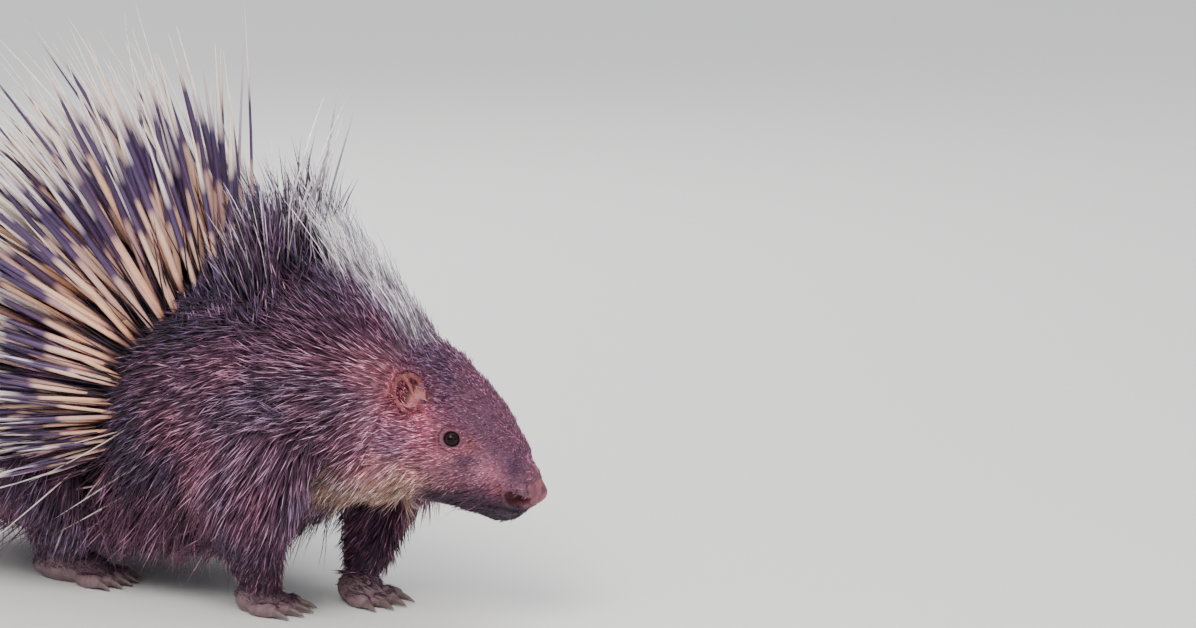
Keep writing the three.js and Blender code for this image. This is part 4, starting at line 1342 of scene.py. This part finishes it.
def rangeNode(tree, value, low, high):
    made = tree.nodes.new("ShaderNodeMapRange")
    made.interpolation_type = "SMOOTHSTEP"
    put(tree, made.inputs["Value"], value)
    put(tree, made.inputs["From Min"], low)
    put(tree, made.inputs["From Max"], high)
    return made.outputs["Result"]


def textureNode(tree, kind, scale):  # fixed to the object's own coordinates
    made = tree.nodes.new(kind)
    put(tree, made.inputs["Vector"], tree.nodes.new("ShaderNodeTexCoord").outputs["Object"])
    put(tree, made.inputs["Scale"], scale)
    return made


def noiseNode(tree, scale, detail=4.0):
    made = textureNode(tree, "ShaderNodeTexNoise", scale)
    made.inputs["Detail"].default_value = detail
    return made.outputs["Fac"]


def attribute(tree, name):
    made = tree.nodes.new("ShaderNodeAttribute")
    made.attribute_name = name
    return made.outputs["Fac"]


def rampNode(tree, source, stops):
    made = tree.nodes.new("ShaderNodeValToRGB")
    while len(made.color_ramp.elements) < len(stops):
        made.color_ramp.elements.new(0.5)
    for element, (place, colour) in zip(made.color_ramp.elements, stops):
        element.position = place
        element.color = (*colour, 1)
    put(tree, made.inputs["Fac"], source)
    return made.outputs["Color"]


def bumpNode(tree, height, strength, distance):
    made = tree.nodes.new("ShaderNodeBump")
    made.inputs["Strength"].default_value = strength
    made.inputs["Distance"].default_value = distance
    put(tree, made.inputs["Height"], height)
    return made.outputs["Normal"]


def placed(tree, group, **values):
    made = tree.nodes.new("ShaderNodeGroup")
    made.node_tree = group
    for name, value in values.items():
        put(tree, made.inputs[name], value)
    return made.outputs


def strandColourGroup():
    group, enter, leave = newGroup("strandColour", [
        ("Along", "INPUT", "NodeSocketFloat", 0.0), ("Tone", "INPUT", "NodeSocketFloat", 0.5),
        ("Share", "INPUT", "NodeSocketFloat", 0.3), ("Root", "INPUT", "NodeSocketColor", None),
        ("Middle", "INPUT", "NodeSocketColor", None), ("Tip", "INPUT", "NodeSocketColor", None),
        ("Bright", "INPUT", "NodeSocketColor", None), ("Color", "OUTPUT", "NodeSocketColor", None)])
    lower = rangeNode(group, enter["Along"], 0.0, 0.5)
    upper = rangeNode(group, enter["Along"], 0.5, 0.95)
    ended = rangeNode(group, enter["Along"], 0.56, 0.74)
    base = mixNode(group, lower, enter["Root"], enter["Middle"])
    plain = mixNode(group, upper, base, enter["Tip"])
    bright = mixNode(group, ended, base, enter["Bright"])
    cut = mathNode(group, "SUBTRACT", 1.0, enter["Share"])
    chosen = rangeNode(group, mathNode(group, "SUBTRACT", enter["Tone"], cut), -0.08, 0.08)
    shade = mathNode(group, "MULTIPLY_ADD", enter["Tone"], 0.95, 0.5)
    put(group, leave["Color"], scaleNode(group, mixNode(group, chosen, plain, bright), shade))
    return group


def mottleGroup():
    group, enter, leave = newGroup("mottle", [
        ("Color", "INPUT", "NodeSocketColor", None), ("Scale", "INPUT", "NodeSocketFloat", 60.0),
        ("Depth", "INPUT", "NodeSocketFloat", 0.3), ("Color", "OUTPUT", "NodeSocketColor", None),
        ("Height", "OUTPUT", "NodeSocketFloat", None)])
    broad = noiseNode(group, enter["Scale"])
    fine = noiseNode(group, mathNode(group, "MULTIPLY", enter["Scale"], 6.0))
    both = mathNode(group, "MULTIPLY_ADD", fine, 0.35, mathNode(group, "MULTIPLY", broad, 0.65))
    centred = mathNode(group, "SUBTRACT", both, 0.5)
    depth = mathNode(group, "MULTIPLY", enter["Depth"], 5.0)
    shade = mathNode(group, "MULTIPLY_ADD", centred, depth, 1.0)
    put(group, leave["Color"], scaleNode(group, enter["Color"], shade))
    put(group, leave["Height"], fine)
    return group


strandColour = strandColourGroup()
mottle = mottleGroup()


def newMaterial(name, roughness):
    made = bpy.data.materials.new(name)
    made.use_nodes = True
    inputs = made.node_tree.nodes["Principled BSDF"].inputs
    inputs["Roughness"].default_value = roughness
    return made, made.node_tree, inputs


hairTones = {
    "dark": {"Root": (0.022, 0.010, 0.019), "Middle": (0.09, 0.037, 0.068), "Tip": (0.24, 0.112, 0.178),
             "Bright": (0.49, 0.31, 0.39)},
    "rosy": {"Root": (0.12, 0.045, 0.065), "Middle": (0.31, 0.13, 0.18), "Tip": (0.54, 0.28, 0.36),
             "Bright": (0.86, 0.60, 0.67)},
    "cream": {"Root": (0.12, 0.065, 0.06), "Middle": (0.45, 0.255, 0.205), "Tip": (0.70, 0.465, 0.38),
              "Bright": (0.88, 0.69, 0.585)},
    "white": {"Root": (0.15, 0.11, 0.14), "Middle": (0.58, 0.51, 0.56), "Tip": (0.86, 0.81, 0.85),
              "Bright": (0.96, 0.93, 0.95)},
}
# Tints of the markings; the two darkest also hold painted shade under the chin and low on the body and legs
markTints = {"mauveAndShade": (0.36, 0.29, 0.46), "flush": (1.0, 0.50, 0.58), "blush": (1.55, 1.25, 1.35),
             "peach": (1.12, 0.86, 0.74), "darkAndPaintedShade": (0.42, 0.40, 0.52)}
redTint, blueTint = (1.2, 0.88, 0.98), (0.66, 0.68, 0.88)


def tinted(tree, colour, mark):  # multiplied by its tint where a marking lies
    strong = mixNode(tree, 1.0, colour, markTints[mark], "MULTIPLY")
    return mixNode(tree, attribute(tree, mark), colour, strong)


# One sort of material for all the fur, so that the markings run on over every piece of it
def hairMaterial(name, share, reach):
    made, tree, inputs = newMaterial(name, 0.48)
    along, tone = attribute(tree, "along"), attribute(tree, "tone")
    shareOf = mathNode(tree, "MULTIPLY_ADD", attribute(tree, "grizzle"), reach, share)
    colours = {key: placed(tree, strandColour, Along=along, Tone=tone, Share=shareOf, **tones)["Color"]
               for key, tones in hairTones.items()}
    hue = mixNode(tree, rangeNode(tree, noiseNode(tree, 17.0), 0.36, 0.64), blueTint, redTint)
    colour = mixNode(tree, attribute(tree, "rosy"), colours["dark"], colours["rosy"])
    colour = mixNode(tree, 1.0, colour, hue, "MULTIPLY")
    for mark, key in (("white", "white"), ("pale", "cream")):
        colour = mixNode(tree, attribute(tree, mark), colour, colours[key])
    for mark in markTints:
        colour = tinted(tree, colour, mark)
    broad = placed(tree, mottle, Color=colour, Scale=42.0, Depth=0.3)
    fine = placed(tree, mottle, Color=broad["Color"], Scale=210.0, Depth=0.42)
    put(tree, inputs["Base Color"], fine["Color"])
    return made


# Colours along a quill: dark at the root, a cream band, a dark one and a pale end
quillStops = [
    (0.0, (0.05, 0.026, 0.024)), (0.05, (0.24, 0.11, 0.08)), (0.11, (0.76, 0.42, 0.29)),
    (0.30, (0.86, 0.58, 0.43)), (0.40, (0.72, 0.47, 0.40)), (0.44, (0.095, 0.052, 0.135)),
    (0.64, (0.055, 0.034, 0.10)), (0.69, (0.52, 0.44, 0.47)), (0.77, (0.86, 0.80, 0.75)),
    (1.0, (0.93, 0.88, 0.80)),
]
ivoryStops = [(0.0, (0.20, 0.12, 0.11)), (0.2, (0.62, 0.52, 0.46)), (0.6, (0.86, 0.82, 0.77)),
              (1.0, (0.93, 0.90, 0.85))]
toneStops = [(0.0, (0.60, 0.50, 0.64)), (0.35, (0.95, 0.88, 0.90)), (0.75, (1.0, 0.97, 0.93)),
             (1.0, (0.98, 0.80, 0.68))]
rattleStops = [(0.0, (0.45, 0.36, 0.27)), (0.3, (0.70, 0.62, 0.50)), (0.5, (0.82, 0.77, 0.68)),
               (1.0, (0.86, 0.82, 0.75))]
eyeStops = [(0.0, (0.03, 0.015, 0.018)), (0.62, (0.02, 0.007, 0.009)), (0.86, (0.018, 0.006, 0.008)),
            (0.91, (0.003, 0.002, 0.003))]


def quillMaterial():
    made, tree, inputs = newMaterial("bandedQuill", 0.34)
    slid = mathNode(tree, "MULTIPLY_ADD", attribute(tree, "slide"), 0.1, attribute(tree, "along"))
    ivory = rampNode(tree, attribute(tree, "along"), ivoryStops)
    bands = mixNode(tree, attribute(tree, "white"), rampNode(tree, slid, quillStops), ivory)
    colour = mixNode(tree, 1.0, bands, rampNode(tree, attribute(tree, "tone"), toneStops), "MULTIPLY")
    out = placed(tree, mottle, Color=colour, Scale=160.0, Depth=0.12)
    put(tree, inputs["Base Color"], out["Color"])
    put(tree, inputs["Normal"], bumpNode(tree, out["Height"], 0.25, 0.0004))
    return made


def rattleMaterial():
    made, tree, inputs = newMaterial("rattleHorn", 0.3)
    colour = rampNode(tree, attribute(tree, "along"), rattleStops)
    put(tree, inputs["Base Color"], placed(tree, mottle, Color=colour, Scale=120.0, Depth=0.15)["Color"])
    return made


def pebbles(tree):  # the fine cells of bare skin
    cells = textureNode(tree, "ShaderNodeTexVoronoi", 900)
    return mathNode(tree, "MULTIPLY", cells.outputs["Distance"], -0.8)


def noseColour(tree):  # pink in soft patches over purplish brown
    patch = rangeNode(tree, noiseNode(tree, 130.0, 5.0), 0.38, 0.62)
    return mixNode(tree, patch, (0.15, 0.045, 0.07), (0.34, 0.10, 0.115))


def skinMaterial():
    made, tree, inputs = newMaterial("skin", 0.6)
    # Own dark purple skin, and pink on the face, darkened there as painted shade in the gaps between hairs
    colour = mixNode(tree, attribute(tree, "rosy"), (0.055, 0.037, 0.045), (0.23, 0.085, 0.12))
    # Markings as on the coat, among them painted shade under the chin and low on the body
    for mark in ("mauveAndShade", "blush", "darkAndPaintedShade"):
        colour = tinted(tree, colour, mark)
    # Bare places in their own colours, and dark red painted shade in the hollows
    for mark, covering in (("flush", (0.37, 0.10, 0.11)), ("peach", (0.37, 0.115, 0.105)),
                           ("nose", noseColour(tree)), ("foot", (0.20, 0.12, 0.135)),
                           ("lid", (0.075, 0.035, 0.045)), ("hollow", (0.07, 0.009, 0.012))):
        colour = mixNode(tree, attribute(tree, mark), colour, covering)
    broad = placed(tree, mottle, Color=colour, Scale=75.0, Depth=0.3)
    out = placed(tree, mottle, Color=broad["Color"], Scale=190.0, Depth=0.25)
    height = mathNode(tree, "MULTIPLY_ADD", pebbles(tree), attribute(tree, "nose"), out["Height"])
    put(tree, inputs["Base Color"], out["Color"])
    put(tree, inputs["Normal"], bumpNode(tree, height, 0.6, 0.0008))
    inputs["Subsurface Weight"].default_value = 0.12
    inputs["Subsurface Radius"].default_value = (0.004, 0.0015, 0.001)
    return made


def eyeMaterial():
    made, tree, inputs = newMaterial("eyeGloss", 0.05)
    put(tree, inputs["Base Color"], rampNode(tree, attribute(tree, "front"), eyeStops))
    inputs["Specular IOR Level"].default_value = 0.16
    return made


def clawMaterial():
    made, tree, inputs = newMaterial("clawHorn", 0.38)
    out = placed(tree, mottle, Color=(0.15, 0.10, 0.095), Scale=260.0, Depth=0.35)
    put(tree, inputs["Base Color"], out["Color"])
    put(tree, inputs["Normal"], bumpNode(tree, out["Height"], 0.3, 0.0003))
    return made


def floorMaterial():
    made, tree, inputs = newMaterial("floorPale", 0.85)
    put(tree, inputs["Base Color"], (0.78, 0.77, 0.75))
    return made


def finishSkin():
    coords = valuesOf(skin.data, "co")
    for key, mark in (coatMarks | skinMarks).items():
        setMark(skin.data, key, mark(coords))
    setCoords(skin.data, toRow(coords))


finishSkin()
looks = {"quills": quillMaterial(), "hair": hairMaterial("coatHair", 0.2, 0.3),
         "face": hairMaterial("faceHair", 0.3, 0.15), "rattle": rattleMaterial(), "skin": skinMaterial(),
         "eye": eyeMaterial(), "claw": clawMaterial()}


def dress(piece, look, slot, *nodes):
    piece.data.materials.append(looks[look])
    piece.data.polygons.foreach_set("use_smooth", np.ones(len(piece.data.polygons), bool))
    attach(piece, "root")
    if nodes:
        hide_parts(*nodes)


slots = {"quills": "quills", "hair": "bristles", "face": "face", "rattle": "quills"}
for group, pieces in coat.items():
    for piece in pieces:
        dress(piece, group, slots[group])
feet = {name: name.replace("leg", "foot") for name in legs}
dress(skin, "skin", "face", "torso", "neck", "tail", "head", "jaw", "ear_right", "ear_left", *legs,
      *feet.values())
for name, piece in eyes.items():
    dress(piece, "eye", "eye", "eye_" + name)
for name, piece in claws.items():
    dress(piece, "claw", "claw", *[f"{feet[name]}_claw_{i + 1}" for i in range(legs[name]["digits"])])
print("materials")

# Floor, light and camera, in metres
studio = {"floor": 40, "world": (0.84, 0.87, 0.92), "worldStrength": 0.62}
lights = {
    "keyLight": {"place": (0.6, -1.6, 2.2), "size": 1.4, "power": 70, "colour": (1.0, 0.97, 0.93)},
    "fillLight": {"place": (3.0, -1.1, 1.9), "size": 2.2, "power": 32, "colour": (0.93, 0.96, 1.0)},
    "rimLight": {"place": (-1.4, 1.4, 1.8), "size": 1.2, "power": 30},
    "ceilingLight": {"place": (-2.5, 3.0, 6.0), "size": 9.0, "power": 320, "aim": (-2.5, 3.0, 0)},
}


def buildFloor():
    bm = bmesh.new()
    bmesh.ops.create_grid(bm, x_segments=1, y_segments=1, size=studio["floor"])
    floor = linked("floor", meshOf("floor", bm))
    floor.data.materials.append(floorMaterial())


def areaLight(name, place, size, power, colour=(1, 1, 1), aim=(0, 0, 0.15)):
    data = bpy.data.lights.new(name, "AREA")
    data.size = size
    data.energy = power
    data.color = colour
    made = linked(name, data)
    made.location = place
    made.rotation_mode = "QUATERNION"
    made.rotation_quaternion = (Vector(aim) - Vector(place)).to_track_quat("-Z", "Y")


def buildWorld():
    world = bpy.data.worlds.new("studio")
    bpy.context.scene.world = world
    world.use_nodes = True
    inputs = world.node_tree.nodes["Background"].inputs
    inputs["Color"].default_value = (*studio["world"], 1)
    inputs["Strength"].default_value = studio["worldStrength"]


# The photograph's view: place in millimetres, angles in degrees, and the lens by its field
shot = {"place": (1688.1, -1874.8, 629.0), "azimuth": 35.85, "elevation": 9.92, "focalPixels": 3675.0,
        "photoWidth": 1196.0, "sensor": 36.0}


def buildCamera():
    azimuth, elevation = math.radians(shot["azimuth"]), math.radians(shot["elevation"])
    level = math.cos(elevation)
    back = Vector((math.sin(azimuth) * level, -math.cos(azimuth) * level, math.sin(elevation)))
    data = bpy.data.cameras.new("camera")
    data.sensor_width = shot["sensor"]
    data.lens = shot["sensor"] * shot["focalPixels"] / shot["photoWidth"]
    data.clip_start, data.clip_end = 0.05, 100
    camera = linked("camera", data)
    camera.location = toRow(shot["place"])
    camera.rotation_mode = "QUATERNION"
    camera.rotation_quaternion = (-back).to_track_quat("-Z", "Y")
    bpy.context.scene.camera = camera


buildFloor()
buildWorld()
for name, light in lights.items():
    areaLight(name, **light)
buildCamera()
print("stage")
